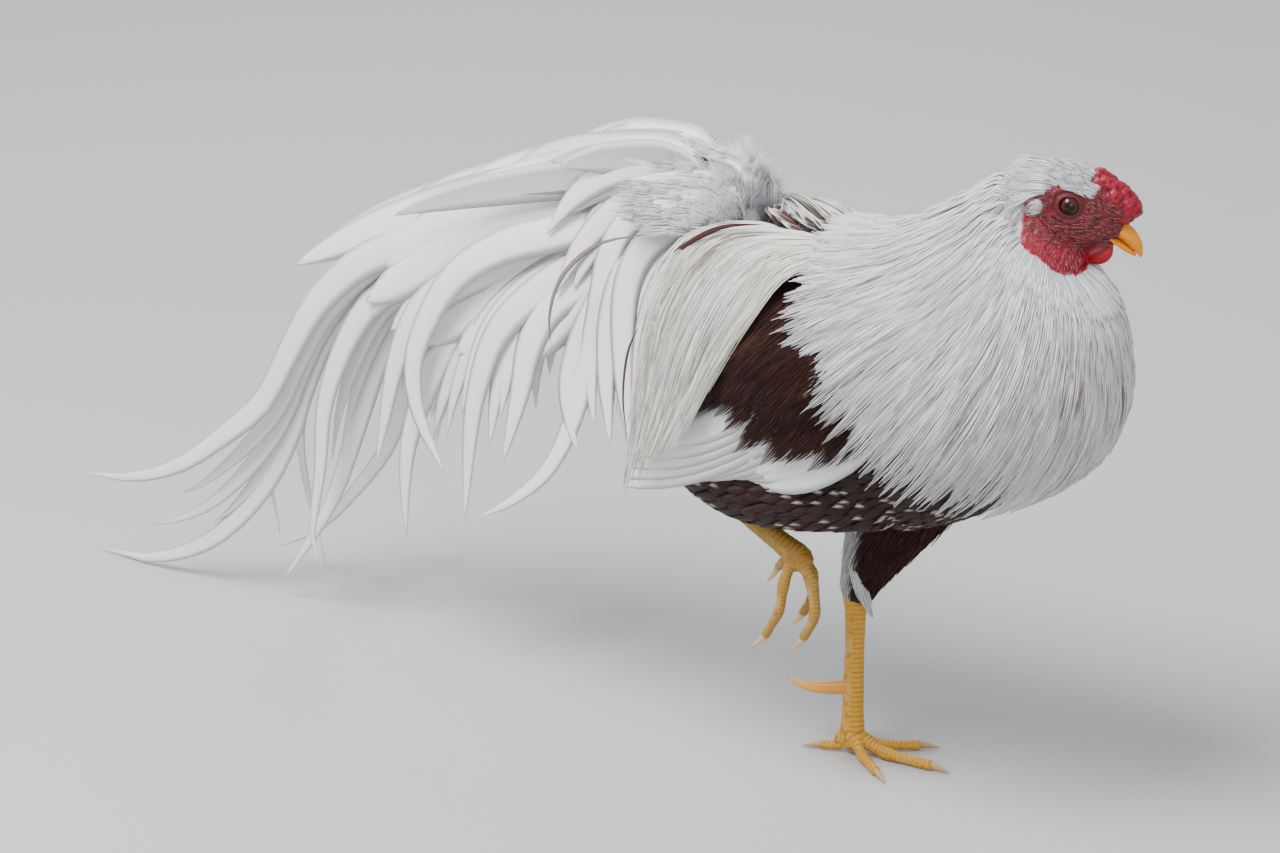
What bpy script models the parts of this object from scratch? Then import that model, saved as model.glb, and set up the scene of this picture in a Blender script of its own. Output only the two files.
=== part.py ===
# Long-tailed cock, walking, one foot lifted.
# Metres, +X the way the body faces, +Y its left, +Z up; origin under the standing (left) foot.
import math

import bmesh
import bpy
import numpy as np
from mathutils import Vector
from mathutils.bvhtree import BVHTree

# Driving dimensions
BODY_Y = -0.022
GAP = 0.0003
HEAD_AT = Vector((0.1483, -0.0050, 0.4024))
HEAD_YAW = math.radians(26.0)
HEAD_PITCH = math.radians(-22.0)
EYE_SIDE = 0.0116
EYE_R = 0.0064
SHANK_DEPTH = 0.0075
SHANK_WIDTH = 0.0062
TOE_R = 0.0048
TOE_Z = 0.0034
TOE_START = 0.0125
VANE_T = 0.0011
LOCK_T = 0.0016
SIDES = 16

# Torso from tail end to breast: x, middle z, half width, half height
TORSO = [
    (-0.126, 0.318, 0.018, 0.020), (-0.100, 0.288, 0.042, 0.060), (-0.064, 0.271, 0.058, 0.082),
    (-0.019, 0.263, 0.070, 0.088), (0.031, 0.261, 0.075, 0.088), (0.081, 0.266, 0.074, 0.082),
    (0.121, 0.275, 0.066, 0.068), (0.150, 0.284, 0.050, 0.046), (0.166, 0.290, 0.030, 0.026)]

# Outer lie of the hackle, ring by ring from the nape to the hem:
# back x, back z, front x, front z, middle y, half width, sag of the sides
CAPE = [
    (0.118, 0.417, 0.160, 0.376, -0.009, 0.022, 0.000), (0.090, 0.405, 0.172, 0.358, -0.015, 0.034, 0.000),
    (0.066, 0.389, 0.190, 0.335, -0.019, 0.051, 0.000), (0.042, 0.376, 0.197, 0.304, -0.022, 0.068, 0.001),
    (0.018, 0.369, 0.196, 0.276, -0.022, 0.082, 0.003), (-0.006, 0.368, 0.185, 0.248, -0.022, 0.091, 0.012),
    (-0.026, 0.369, 0.166, 0.227, -0.022, 0.095, 0.028), (-0.045, 0.370, 0.142, 0.212, -0.022, 0.094, 0.044)]

# Rows of hackle locks: how many, root ring, tip ring, depth under the outer lie, half width
HACKLE_ROWS = [(14, 2.6, 6.9, 0.0074, 0.0145), (12, 1.8, 6.0, 0.0042, 0.0145),
               (9, 1.0, 4.9, 0.0010, 0.0135), (7, 0.3, 3.5, 0.0, 0.0110)]

# Neck core: ring of the outer lie and the share of it that the core fills
NECK_CORE = [(0.05, 0.86), (0.9, 0.80), (1.7, 0.76), (2.5, 0.72), (3.3, 0.68), (4.0, 0.62)]


# Makes one closed mesh object from points and faces
def solid(name, verts, faces):
    mesh = bpy.data.meshes.new(name)
    mesh.from_pydata([tuple(v) for v in verts], [], faces)
    bm = bmesh.new()
    bm.from_mesh(mesh)
    bmesh.ops.recalc_face_normals(bm, faces=bm.faces)
    bm.to_mesh(mesh)
    bm.free()
    obj = bpy.data.objects.new(name, mesh)
    bpy.context.scene.collection.objects.link(obj)
    return obj


# Smooth rows of numbers through the given ones
def smooth(rows, count):
    pts = np.array(rows, dtype=float)
    ext = np.vstack([2 * pts[0] - pts[1], pts, 2 * pts[-1] - pts[-2]])
    out = []
    for k in range(count):
        t = k / (count - 1) * (len(pts) - 1)
        i = min(int(t), len(pts) - 2)
        f = t - i
        a, b, c, d = ext[i:i + 4]
        out.append(0.5 * (2 * b + (c - a) * f + (2 * a - 5 * b + 4 * c - d) * f * f
                          + (3 * b - a - 3 * c + d) * f ** 3))
    return np.array(out)


# Value of smooth rows at one place along them
def row_at(rows, place):
    place = min(max(place, 0.0), len(rows) - 1.001)
    i = int(place)
    f = place - i
    pts = np.array(rows, dtype=float)
    ext = np.vstack([2 * pts[0] - pts[1], pts, 2 * pts[-1] - pts[-2]])
    a, b, c, d = ext[i:i + 4]
    return 0.5 * (2 * b + (c - a) * f + (2 * a - 5 * b + 4 * c - d) * f * f
                  + (3 * b - a - 3 * c + d) * f ** 3)


# Closed skin over a row of rings with the same number of points
def loft(name, rings):
    n = len(rings[0])
    verts = [p for ring in rings for p in ring]
    faces = []
    for i in range(len(rings) - 1):
        for j in range(n):
            a, b = i * n + j, i * n + (j + 1) % n
            faces.append((a, b, b + n, a + n))
    for end, base in ((rings[0], 0), (rings[-1], (len(rings) - 1) * n)):
        middle = sum((Vector(p) for p in end), Vector()) / n
        verts.append(middle)
        faces += [(base + j, base + (j + 1) % n, len(verts) - 1) for j in range(n)]
    return solid(name, verts, faces)


# Ring of points round a centre in the plane of two directions
def ring_at(centre, u, v, half_u, half_v, sides):
    turns = [2 * math.pi * k / sides for k in range(sides)]
    return [centre + u * (half_u * math.cos(t)) + v * (half_v * math.sin(t)) for t in turns]


# Bent tube; rows hold x, y, z, half width and half depth
def tube(name, rows, count, sides, hint=Vector((0, 1, 0))):
    data = smooth(rows, count)
    pts = [Vector(r[:3]) for r in data]
    rings = []
    for i, p in enumerate(pts):
        ahead = (pts[min(i + 1, count - 1)] - pts[max(i - 1, 0)]).normalized()
        side = (hint - ahead * hint.dot(ahead)).normalized()
        rings.append(ring_at(p, side, ahead.cross(side), data[i][3], data[i][4], sides))
    return loft(name, rings)


# Egg-shaped solid from three directions and radii
def egg(name, centre, axes, radii, rings=6, sides=12):
    stack = []
    for i in range(rings):
        lean = math.pi * (i + 0.5) / rings
        mid = centre + axes[0] * (radii[0] * math.cos(lean))
        wide, high = radii[1] * math.sin(lean), radii[2] * math.sin(lean)
        stack.append(ring_at(mid, axes[1], axes[2], wide, high, sides))
    obj = loft(name, stack)
    verts = obj.data.vertices
    verts[len(verts) - 2].co = centre + axes[0] * radii[0]
    verts[len(verts) - 1].co = centre - axes[0] * radii[0]
    return obj


# Flat bent strip with a four-point section, split alike on both faces
def vane(points, normals, widths, thick):
    n = len(points)
    verts = []
    for i, p in enumerate(points):
        ahead = (points[min(i + 1, n - 1)] - points[max(i - 1, 0)]).normalized()
        side = ahead.cross(normals[i]).normalized()
        top = side.cross(ahead)
        half = top * (thick * (0.5 if i < n - 1 else 0.28))
        verts += [p - side * widths[i] + half, p + side * widths[i] + half,
                  p + side * widths[i] - half, p - side * widths[i] - half]
    faces = [(0, 1, 2), (0, 2, 3)]
    for i in range(n - 1):
        a, b = 4 * i, 4 * i + 4
        faces += [(a, a + 1, b + 1), (a, b + 1, b), (a + 3, a + 2, b + 2), (a + 3, b + 2, b + 3)]
        faces += [(a + 1, a + 2, b + 2), (a + 1, b + 2, b + 1), (a, a + 3, b + 3), (a, b + 3, b)]
    e = 4 * n - 4
    faces += [(e, e + 1, e + 2), (e, e + 2, e + 3)]
    return solid("vane", verts, faces)


# Lock of feathers: a bent strip with a ridge along its outer side
def lock(points, normals, widths, thick):
    n = len(points)
    verts = []
    for i, p in enumerate(points):
        ahead = (points[min(i + 1, n - 1)] - points[max(i - 1, 0)]).normalized()
        side = ahead.cross(normals[i]).normalized()
        top = side.cross(ahead)
        verts += [p - side * widths[i] - top * (thick * 0.5), p + top * (thick * (0.5 if i < n - 1 else 0.1)),
                  p + side * widths[i] - top * (thick * 0.5)]
    faces = [(0, 1, 2)]
    for i in range(n - 1):
        a, b = 3 * i, 3 * i + 3
        faces += [(a, a + 1, b + 1), (a, b + 1, b), (a + 1, a + 2, b + 2), (a + 1, b + 2, b + 1),
                  (a, a + 2, b + 2), (a, b + 2, b)]
    e = 3 * n - 3
    faces.append((e, e + 1, e + 2))
    return solid("lock", verts, faces)


# Width along a vane or lock: opens soon, tapers to a narrow tip
def widths_along(count, half, open_at=0.25, tip=0.0011, fullness=1.6):
    out = []
    for k in range(count):
        t = k / (count - 1)
        grow = min(1.0, 0.45 + 0.55 * t / open_at)
        out.append(max(tip, half * grow * (1.0 - t ** (2.0 * fullness)) ** 0.9))
    return out


# Takes an object out of the file
def drop(obj):
    bpy.data.objects.remove(obj, do_unlink=True)


# Whether every edge joins two faces once slivers are welded
def closed(mesh):
    bm = bmesh.new()
    bm.from_mesh(mesh)
    bmesh.ops.remove_doubles(bm, verts=bm.verts, dist=0.0000012)
    good = len(bm.faces) > 3 and all(len(e.link_faces) == 2 for e in bm.edges)
    bm.free()
    return good


# Applies one Boolean, with the second solver where the first leaves an open edge
def boolean(obj, operation, other):
    mod = obj.modifiers.new("boolean", "BOOLEAN")
    mod.operation = operation
    if isinstance(other, bpy.types.Collection):
        mod.operand_type = "COLLECTION"
        mod.collection = other
    else:
        mod.object = other
    for solver in ("EXACT", "MANIFOLD"):
        mod.solver = solver
        bpy.context.view_layer.update()
        graph = bpy.context.evaluated_depsgraph_get()
        mesh = bpy.data.meshes.new_from_object(obj.evaluated_get(graph))
        if closed(mesh):
            break
        print(obj.name, operation, solver, "left open edges")
    obj.modifiers.clear()
    obj.data = mesh


# Joins a node's pieces in one union, then takes the pieces away
def fuse(name, base, pieces):
    group = bpy.data.collections.new(name + "_pieces")
    for piece in pieces:
        group.objects.link(piece)
    boolean(base, "UNION", group)
    for piece in pieces:
        drop(piece)
    bpy.data.collections.remove(group)
    base.name = name
    keep_largest(base)
    return base


# Cuts one solid out of another
def cut(obj, tool):
    boolean(obj, "DIFFERENCE", tool)


# Copy of a solid grown by the gap all round
def room_of(other, gap=GAP):
    copy = other.copy()
    copy.data = other.data.copy()
    bpy.context.scene.collection.objects.link(copy)
    bm = bmesh.new()
    bm.from_mesh(copy.data)
    bm.normal_update()
    moves = [(v, v.normal * gap * max(1.0, min(2.0, v.calc_shell_factor()))) for v in bm.verts]
    for v, move in moves:
        v.co += move
    bm.to_mesh(copy.data)
    bm.free()
    return copy


# Cuts rooms out of a solid and takes them away
def make_room(obj, rooms):
    for room in rooms:
        cut(obj, room)
        drop(room)
    keep_largest(obj)


# Cuts a solid clear of a neighbour by the gap
def clear_of(obj, other, gap=GAP):
    make_room(obj, [room_of(other, gap)])


# Keeps the closed surface with the largest volume, tidied of slivers
def keep_largest(obj):
    bm = bmesh.new()
    bm.from_mesh(obj.data)
    bmesh.ops.triangulate(bm, faces=bm.faces)
    seen = set()
    best, best_size = [], -1.0
    for face in bm.faces:
        if face in seen:
            continue
        island, queue = [], [face]
        seen.add(face)
        while queue:
            f = queue.pop()
            island.append(f)
            for edge in f.edges:
                for g in edge.link_faces:
                    if g not in seen:
                        seen.add(g)
                        queue.append(g)
        size = sum(f.verts[0].co.dot(f.verts[1].co.cross(f.verts[2].co)) for f in island) / 6.0
        if size > best_size:
            best, best_size = island, size
    keep = set(best)
    bmesh.ops.delete(bm, geom=[f for f in bm.faces if f not in keep], context="FACES")
    bm.to_mesh(obj.data)
    bm.free()
    weld(obj)


# Welds the slivers that cutting leaves, by the least distance that keeps the surface closed
def weld(obj):
    for dist in (0.0000012, 0.000004, 0.00001, 0.00002, 0.00004, 0.00008):
        bm = bmesh.new()
        bm.from_mesh(obj.data)
        bmesh.ops.remove_doubles(bm, verts=bm.verts, dist=dist)
        bmesh.ops.dissolve_degenerate(bm, edges=bm.edges, dist=dist)
        bmesh.ops.triangulate(bm, faces=bm.faces)
        if all(len(e.link_faces) == 2 for e in bm.edges):
            bm.to_mesh(obj.data)
            bm.free()
            return
        bm.free()
    print("still open:", obj.name)


# Trims a solid flat at floor level
def floor_cut(obj):
    box = solid("under", [(x, y, z) for x in (-1, 1) for y in (-1, 1) for z in (-0.2, 0.0)],
                [(0, 1, 3, 2), (4, 6, 7, 5), (0, 4, 5, 1), (2, 3, 7, 6), (0, 2, 6, 4), (1, 5, 7, 3)])
    cut(obj, box)
    drop(box)
    keep_largest(obj)


# Search tree over several solids
def tree_of(objs):
    verts, faces = [], []
    for obj in objs:
        base = len(verts)
        verts += [v.co.copy() for v in obj.data.vertices]
        faces += [tuple(base + i for i in p.vertices) for p in obj.data.polygons]
    return BVHTree.FromPolygons(verts, faces)


# Moves a point outward along a direction until it clears the surface there
def outside(tree, point, direction, clear, reach=0.12):
    hit = tree.ray_cast(point + direction * reach, -direction, reach + 0.06)[0]
    if hit is None or (point - hit).dot(direction) >= clear:
        return point
    return hit + direction * clear


# Point and outward normal on the side of a body at x and z, or the last ones past its edge
def on_side(tree, x, z, side, height, last):
    hit, normal, _, _ = tree.ray_cast(Vector((x, side * 0.4, z)), Vector((0, -side, 0)))
    if hit is None:
        return Vector((x, last.y if last else BODY_Y, z)), Vector((0, side, 0))
    return hit + Vector((0, side, 0)) * height, normal.copy()


# Material with a plain finish
def finish(obj, colour, roughness, metallic=0.0):
    mat = bpy.data.materials.new(obj.name + "_finish")
    mat.use_nodes = True
    shader = mat.node_tree.nodes["Principled BSDF"]
    shader.inputs["Base Color"].default_value = (*colour, 1.0)
    shader.inputs["Roughness"].default_value = roughness
    shader.inputs["Metallic"].default_value = metallic
    mat.diffuse_color = (*colour, 1.0)
    obj.data.materials.clear()
    obj.data.materials.append(mat)


# Head directions: forward, left, up
def head_axes():
    cy, sy = math.cos(HEAD_YAW), math.sin(HEAD_YAW)
    cp, sp = math.cos(HEAD_PITCH), math.sin(HEAD_PITCH)
    forward = Vector((cy * cp, sy * cp, sp))
    left = Vector((-sy, cy, 0.0))
    return forward, left, forward.cross(left)


# Point in head measures, in millimetres forward, left and up of the eyes
def head_point(f, s, u):
    forward, left, up = head_axes()
    return HEAD_AT + forward * (f * 0.001) + left * (s * 0.001) + up * (u * 0.001)


# Lofted form in head measures: rows of forward, half width, top and bottom
def head_loft(name, rows, count, sides, shift=0.0):
    forward, left, up = head_axes()
    rings = []
    for f, w, top, bottom in smooth(rows, count):
        mid = head_point(f, shift, (top + bottom) / 2)
        rings.append(ring_at(mid, left, up, w * 0.001, (top - bottom) * 0.0005, sides))
    return loft(name, rings)


# Start from nothing
for old in list(bpy.data.objects):
    bpy.data.objects.remove(old, do_unlink=True)

# Torso
torso = loft("torso", [ring_at(Vector((x, BODY_Y, z)), Vector((0, 1, 0)), Vector((0, 0, 1)), w, h, SIDES)
                       for x, z, w, h in smooth(TORSO, 11)])

# Thighs, the standing one under the body and the lifted one along the flank
THIGH_LEFT = [
    (0.056, 0.016, 0.222, 0.026, 0.036), (0.034, 0.012, 0.184, 0.025, 0.032),
    (0.015, 0.006, 0.150, 0.020, 0.025), (0.005, 0.002, 0.124, 0.014, 0.0158),
    (0.001, 0.000, 0.109, 0.0098, 0.0108)]
THIGH_RIGHT = [
    (0.050, -0.058, 0.224, 0.024, 0.038), (0.002, -0.067, 0.209, 0.021, 0.031),
    (-0.038, -0.068, 0.201, 0.018, 0.026), (-0.070, -0.065, 0.199, 0.0130, 0.0180),
    (-0.089, -0.062, 0.200, 0.0085, 0.0100)]
thigh_left = tube("thigh_left", THIGH_LEFT, 7, 14)
thigh_right = tube("thigh_right", THIGH_RIGHT, 8, 14)
clear_of(torso, thigh_left)
clear_of(torso, thigh_right)

# Shanks with stepped plates down the front
SHANK_STEPS = 6
STEP_PARTS = ((0.0, 1.0), (0.72, 0.93))


def shank(name, top, bottom, hint):
    rows = [((k + shift) / SHANK_STEPS, grow) for k in range(SHANK_STEPS) for shift, grow in STEP_PARTS]
    rows.append((1.0, 1.0))
    ahead = (bottom - top).normalized()
    side = (hint - ahead * hint.dot(ahead)).normalized()
    rings = []
    for t, grow in rows:
        knob = grow * (1.0 + 0.42 * math.exp(-(t / 0.10) ** 2) + 0.25 * math.exp(-((1 - t) / 0.09) ** 2))
        middle = top.lerp(bottom, t)
        rings.append(ring_at(middle, side, ahead.cross(side), SHANK_WIDTH * knob, SHANK_DEPTH * knob, 8))
    return loft(name, rings)


HOCK_L, ANKLE_L = Vector((0.001, 0.0, 0.112)), Vector((0.0, 0.0, 0.0150))
HOCK_R, ANKLE_R = Vector((-0.088, -0.062, 0.200)), Vector((-0.0075, -0.057, 0.154))
shank_left = shank("shank_left", HOCK_L, ANKLE_L, Vector((0, 1, 0)))
shank_right = shank("shank_right", HOCK_R, ANKLE_R, Vector((0, 1, 0)))
clear_of(shank_left, thigh_left)
clear_of(shank_right, thigh_right)
clear_of(shank_right, torso)


# One toe as a row of pads; points run from the ankle to where the claw starts
def toe(points, radius, count):
    rows = smooth([tuple(p) for p in points], count)
    data = []
    for k, p in enumerate(rows):
        t = k / (count - 1)
        r = radius * (1.0 - 0.32 * t) * (1.0 + 0.07 * math.cos(t * 6 * math.pi))
        data.append((p[0], p[1], p[2], r, r * 0.92))
    return tube("toe", data, count, 7, Vector((0.13, 0.21, 1.0)))


# Claw from a toe end, curving down
def claw(name, start, along, length, radius, droop):
    rows = []
    for t, r in ((0.0, 1.0), (0.35, 0.82), (0.7, 0.52), (1.0, 0.16)):
        p = start + along * (length * t) + droop * (t * t)
        rows.append((p.x, p.y, p.z, radius * r * 0.8, radius * r))
    return tube(name, rows, 4, 6, Vector((0.13, 0.99, 0.1)))


# Standing foot: turn of each toe from forward, length and radius
L_TOES = [("claw_left_middle", 4, 0.057, 1.0), ("claw_left_inner", -36, 0.040, 0.92),
          ("claw_left_outer", 38, 0.044, 0.92), ("claw_left_hind", -158, 0.020, 0.84)]
pads, claws = [], []
for name, turn, length, size in L_TOES:
    a = math.radians(turn)
    d = Vector((math.cos(a), math.sin(a), 0))
    heights = (TOE_START, 0.0095, TOE_Z, TOE_Z - 0.0010)
    reaches = (-0.002, 0.008, length * 0.45, length)
    pads.append(toe([d * reach + Vector((0, 0, z)) for reach, z in zip(reaches, heights)], TOE_R * size, 6))
    start = d * (length - 0.0005) + Vector((0, 0, TOE_Z - 0.0008))
    claws.append(claw(name, start, d, 0.014, 0.0028 * size, Vector((0, 0, -0.0028))))
foot_left = tube("foot_left", [(0, 0, 0.0185, 0.0089, 0.0105), (0, 0, 0.012, 0.0096, 0.0110),
                               (0.001, 0, -0.002, 0.0085, 0.0100)], 3, 10)
foot_left = fuse("foot_left", foot_left, pads)
floor_cut(foot_left)
clear_of(shank_left, foot_left)

# Lifted foot: toes hang and curl back
R_TOES = [
    ("claw_right_middle", [(-0.003, -0.059, 0.151), (0.004, -0.059, 0.139), (0.007, -0.060, 0.118),
                           (-0.001, -0.060, 0.101)], 0.95, (-0.55, 0.0, -0.84)),
    ("claw_right_inner", [(-0.006, -0.052, 0.150), (-0.003, -0.047, 0.139), (-0.004, -0.045, 0.124),
                          (-0.011, -0.045, 0.110)], 0.88, (-0.60, 0.0, -0.80)),
    ("claw_right_outer", [(-0.009, -0.063, 0.151), (-0.011, -0.068, 0.138), (-0.013, -0.070, 0.120),
                          (-0.023, -0.070, 0.101)], 0.88, (-0.62, 0.0, -0.78)),
    ("claw_right_hind", [(-0.013, -0.056, 0.153), (-0.020, -0.053, 0.147), (-0.026, -0.051, 0.140)], 0.80,
     (-0.45, 0.0, -0.89))]
pads = []
for name, points, size, along in R_TOES:
    pads.append(toe([Vector(p) for p in points], TOE_R * size, 6))
    d = Vector(along).normalized()
    start = Vector(points[-1]) - d * 0.0006
    claws.append(claw(name, start, d, 0.0125, 0.0027 * size, Vector((-0.0022, 0, 0.0))))
foot_right = egg("foot_right", ANKLE_R + Vector((0.0005, 0, -0.002)),
                 [Vector((0.87, 0.05, -0.50)).normalized(), Vector((0, 1, 0)), Vector((0.5, 0, 0.87))],
                 (0.0095, 0.0085, 0.0085), 5, 10)
foot_right = fuse("foot_right", foot_right, pads)
clear_of(shank_right, foot_right)
for c in claws:
    clear_of(c, foot_left if "left" in c.name else foot_right)
    if "left" in c.name:
        floor_cut(c)

# Spurs
SPUR_LEFT = [
    (-0.004, -0.002, 0.046, 0.0050, 0.0052), (-0.016, -0.005, 0.0435, 0.0042, 0.0044),
    (-0.030, -0.008, 0.0425, 0.0030, 0.0031), (-0.0435, -0.0105, 0.0455, 0.0009, 0.0009)]
SPUR_RIGHT = [
    (-0.042, -0.056, 0.1745, 0.0045, 0.0048), (-0.049, -0.047, 0.167, 0.0040, 0.0042),
    (-0.056, -0.037, 0.160, 0.0028, 0.0029), (-0.061, -0.026, 0.156, 0.0009, 0.0009)]
spur_left = tube("spur_left", SPUR_LEFT, 5, 8)
spur_right = tube("spur_right", SPUR_RIGHT, 5, 8)
clear_of(spur_left, shank_left)
clear_of(spur_right, shank_right)
clear_of(spur_right, thigh_right)
clear_of(spur_right, torso)

# Head with lids, cheek fold and dewlap
HEAD = [(-34, 11, 6, -16), (-26, 15, 12, -22), (-14, 17, 19.0, -30), (-2, 17, 22.5, -35),
        (8, 16, 22.5, -36.5), (17, 14.2, 17.0, -31), (25, 11.2, 11.0, -22), (31, 8.8, 4.6, -15), (35.0, 6.6, 1.0, -11.5)]
head = head_loft("head", HEAD, 10, 14)
RIM = [(-25, 13.5, -6), (-24, 14.5, -14), (-19, 14.5, -22), (-11, 13.8, -28.5), (-1, 12.0, -32.5),
       (9, 9.5, -34.5), (17, 6.5, -33.5)]
FWD, LEFT, UP = head_axes()
LID_STEPS = 10
folds = []
for side in (-1, 1):
    lid = []
    for k in range(LID_STEPS):
        a = 2 * math.pi * k / LID_STEPS
        lid.append(tuple(head_point(7.6 * math.cos(a), side * (15.3 - 0.05 * abs(7.6 * math.cos(a))),
                                    6.4 * math.sin(a))))
    ring_pts = [Vector(p) for p in lid]
    rings = []
    for k, p in enumerate(ring_pts):
        out = (p - head_point(0, side * 15.3, 0)).normalized()
        rings.append(ring_at(p, out, LEFT * side, 0.0015, 0.0017, 4))
    verts = [p for r in rings for p in r]
    faces = []
    for i in range(LID_STEPS):
        for j in range(4):
            a, b = i * 4, ((i + 1) % LID_STEPS) * 4
            faces.append((a + j, a + (j + 1) % 4, b + (j + 1) % 4, b + j))
    folds.append(solid("lid", verts, faces))
    rows = []
    for k, (f, s, u) in enumerate(RIM):
        p = head_point(f, side * s, u)
        r = 0.0042 if 0 < k < 6 else 0.0030
        rows.append((p.x, p.y, p.z, r, r * 1.15))
    folds.append(tube("rim", rows, 7, 6, LEFT * side))
folds.append(head_loft("dewlap", [(10, 2.2, -30, -37), (17, 2.8, -28, -39), (21, 2.2, -27, -39.5),
                                  (26, 1.6, -22, -31)], 4, 6))
neck_rooms = [room_of(head)] + [room_of(f) for f in folds if not f.name.startswith("lid")]
head = fuse("head", head, folds)
eyes, ears, wattles = [], [], []
for side, word in ((1, "left"), (-1, "right")):
    eye = egg("eye_" + word, head_point(0, side * EYE_SIDE * 1000, 0), [LEFT * side, FWD, UP],
              (EYE_R, EYE_R, EYE_R), 5, 12)
    eyes.append(eye)
    clear_of(head, eye)
    ear = egg("ear_" + word, head_point(-18.7, side * 15.4, -9.5), [LEFT * side, FWD, UP],
              (0.0036, 0.0048, 0.0062), 4, 10)
    ears.append(ear)
    wattle = egg("wattle_" + word, head_point(28.5, side * 5.6, -23.5), [LEFT * side, FWD, UP],
                 (0.0032, 0.0082, 0.0078), 4, 10)
    wattles.append(wattle)
neck_rooms += [room_of(obj) for obj in ears + wattles]
for obj in ears + wattles:
    clear_of(obj, head)

# Beak halves parted by the line of the mouth
BEAK_UPPER = [
    (32.0, 7.6, 1.2, -9.6), (38, 6.6, 0.0, -10.6), (43, 5.2, -1.8, -12.2), (47.5, 3.8, -4.8, -13.9),
    (51, 2.4, -8.6, -15.3), (53.4, 0.9, -13.6, -16.4)]
BEAK_LOWER = [
    (31.5, 6.6, -9.0, -14.2), (38, 5.6, -10.2, -15.4), (43, 4.1, -11.8, -16.4), (47.5, 2.5, -13.6, -17.0),
    (49.8, 1.0, -15.0, -17.1)]
beak_upper = head_loft("beak_upper", BEAK_UPPER, 7, 10)
beak_lower = head_loft("beak_lower", BEAK_LOWER, 6, 10)
clear_of(beak_lower, beak_upper)
clear_of(beak_upper, head)
clear_of(beak_lower, head)
for obj in wattles:
    clear_of(obj, beak_lower)

# Walnut comb, a lumpy saddle over the forehead and beak root
comb_rings = []
COMB = [(4, 3.0, 21, 16), (9, 7.0, 24.5, 10), (16, 9.0, 23.6, 5), (23, 10.0, 21.6, 0), (30, 9.6, 20.2, -4),
        (35.5, 8.0, 16.6, -1.0), (39.5, 5.4, 13.4, 4.5), (42.0, 2.0, 10.6, 7.6)]
for k, (f, w, top, bottom) in enumerate(smooth(COMB, 9)):
    mid = head_point(f, 0, (top + bottom) / 2)
    ring = []
    for j in range(12):
        a = 2 * math.pi * j / 12
        lump = 1.0 + 0.10 * math.sin(3 * a + 1.9 * k) + 0.07 * math.cos(5 * a - 2.3 * k)
        wide, high = w * 0.001 * lump, (top - bottom) * 0.0005 * lump
        ring.append(mid + LEFT * (wide * math.cos(a)) + UP * (high * math.sin(a)))
    comb_rings.append(ring)
comb = loft("comb", comb_rings)
clear_of(comb, head)
clear_of(comb, beak_upper)


# Place on the outer lie of the hackle: ring number, turn from the front, depth under it
def cape_point(place, turn, depth=0.0):
    bx, bz, fx, fz, my, w, sag = row_at(CAPE, place)
    mid = Vector(((bx + fx) / 2, my, (bz + fz) / 2))
    half = Vector(((fx - bx) / 2, 0, (fz - bz) / 2))
    p = mid + half * math.cos(turn) + Vector((0, w * math.sin(turn), -sag * math.sin(turn) ** 2))
    out = (p - mid).normalized()
    return p - out * depth, out, mid


# Points of a vane lying on the flank between two places given as x and z
def flank_path(tree, start, end, side, heights, count, sag=0.0):
    points, normals, last = [], [], None
    for k in range(count):
        t = k / (count - 1)
        x = start[0] + (end[0] - start[0]) * t
        z = start[1] + (end[1] - start[1]) * t - sag * math.sin(math.pi * t)
        height = heights[0] + (heights[1] - heights[0]) * t
        p, n = on_side(tree, x, z, side, height, last)
        last = p
        points.append(p)
        normals.append(n)
    return points, normals


# Wings folded on the flanks: a low core, the covert rows and the long flight feathers
WING_AT = (0.026, 0.286)
WING_HALF = (0.078, 0.038)
COVERT_TIPS = [(-0.060, 0.262), (-0.030, 0.241), (0.002, 0.228), (0.034, 0.232)]
FLIGHT = [((0.040, 0.227), (-0.118, 0.179)), ((0.034, 0.243), (-0.112, 0.197)),
          ((0.026, 0.258), (-0.102, 0.215)), ((0.016, 0.272), (-0.090, 0.234))]


def make_wing(name, side, tree):
    verts, faces = [], []
    across, rings = 16, 4
    for face, lift in ((1, 1), (0, 0)):
        for i in range(rings):
            r = (i + 1) / rings if face else (rings - i) / rings
            for j in range(across):
                a = 2 * math.pi * j / across
                x = WING_AT[0] + WING_HALF[0] * r * math.cos(a)
                z = WING_AT[1] + WING_HALF[1] * r * math.sin(a) + 0.12 * (x - WING_AT[0])
                height = 0.0012 + 0.0062 * math.sqrt(max(0.0, 1.0 - r * r)) if face else -0.0015
                verts.append(on_side(tree, x, z, side, height, None)[0])
    loops = 2 * rings
    for i in range(loops - 1):
        for j in range(across):
            a, b = i * across + j, i * across + (j + 1) % across
            faces.append((a, b, b + across, a + across))
    for base in (0, (loops - 1) * across):
        verts.append(sum((verts[base + j] for j in range(across)), Vector()) / across)
        faces += [(base + j, base + (j + 1) % across, len(verts) - 1) for j in range(across)]
    core = solid(name, verts, faces)
    pieces = []
    for k, (start, end) in enumerate(FLIGHT):
        high = 0.0028 + 0.0014 * (k % 2)
        pts, nrm = flank_path(tree, start, end, side, (high, high), 7, 0.003)
        pieces.append(vane(pts, nrm, widths_along(7, 0.0115, 0.2), VANE_T))
    for dx, dz, lift in ((0.0, 0.0, 0.0056), (0.012, 0.024, 0.0084)):
        for k, (x, z) in enumerate(COVERT_TIPS):
            tip = (x + dx + 0.004 * math.sin(2.1 * k + side), z + dz)
            start = (tip[0] + 0.042, tip[1] + 0.054)
            high = lift + 0.0014 * (k % 2)
            pts, nrm = flank_path(tree, start, tip, side, (high - 0.0005, high), 5)
            pieces.append(vane(pts, nrm, widths_along(5, 0.0125, 0.3), VANE_T))
    wing = fuse(name, core, pieces)
    return wing


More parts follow.
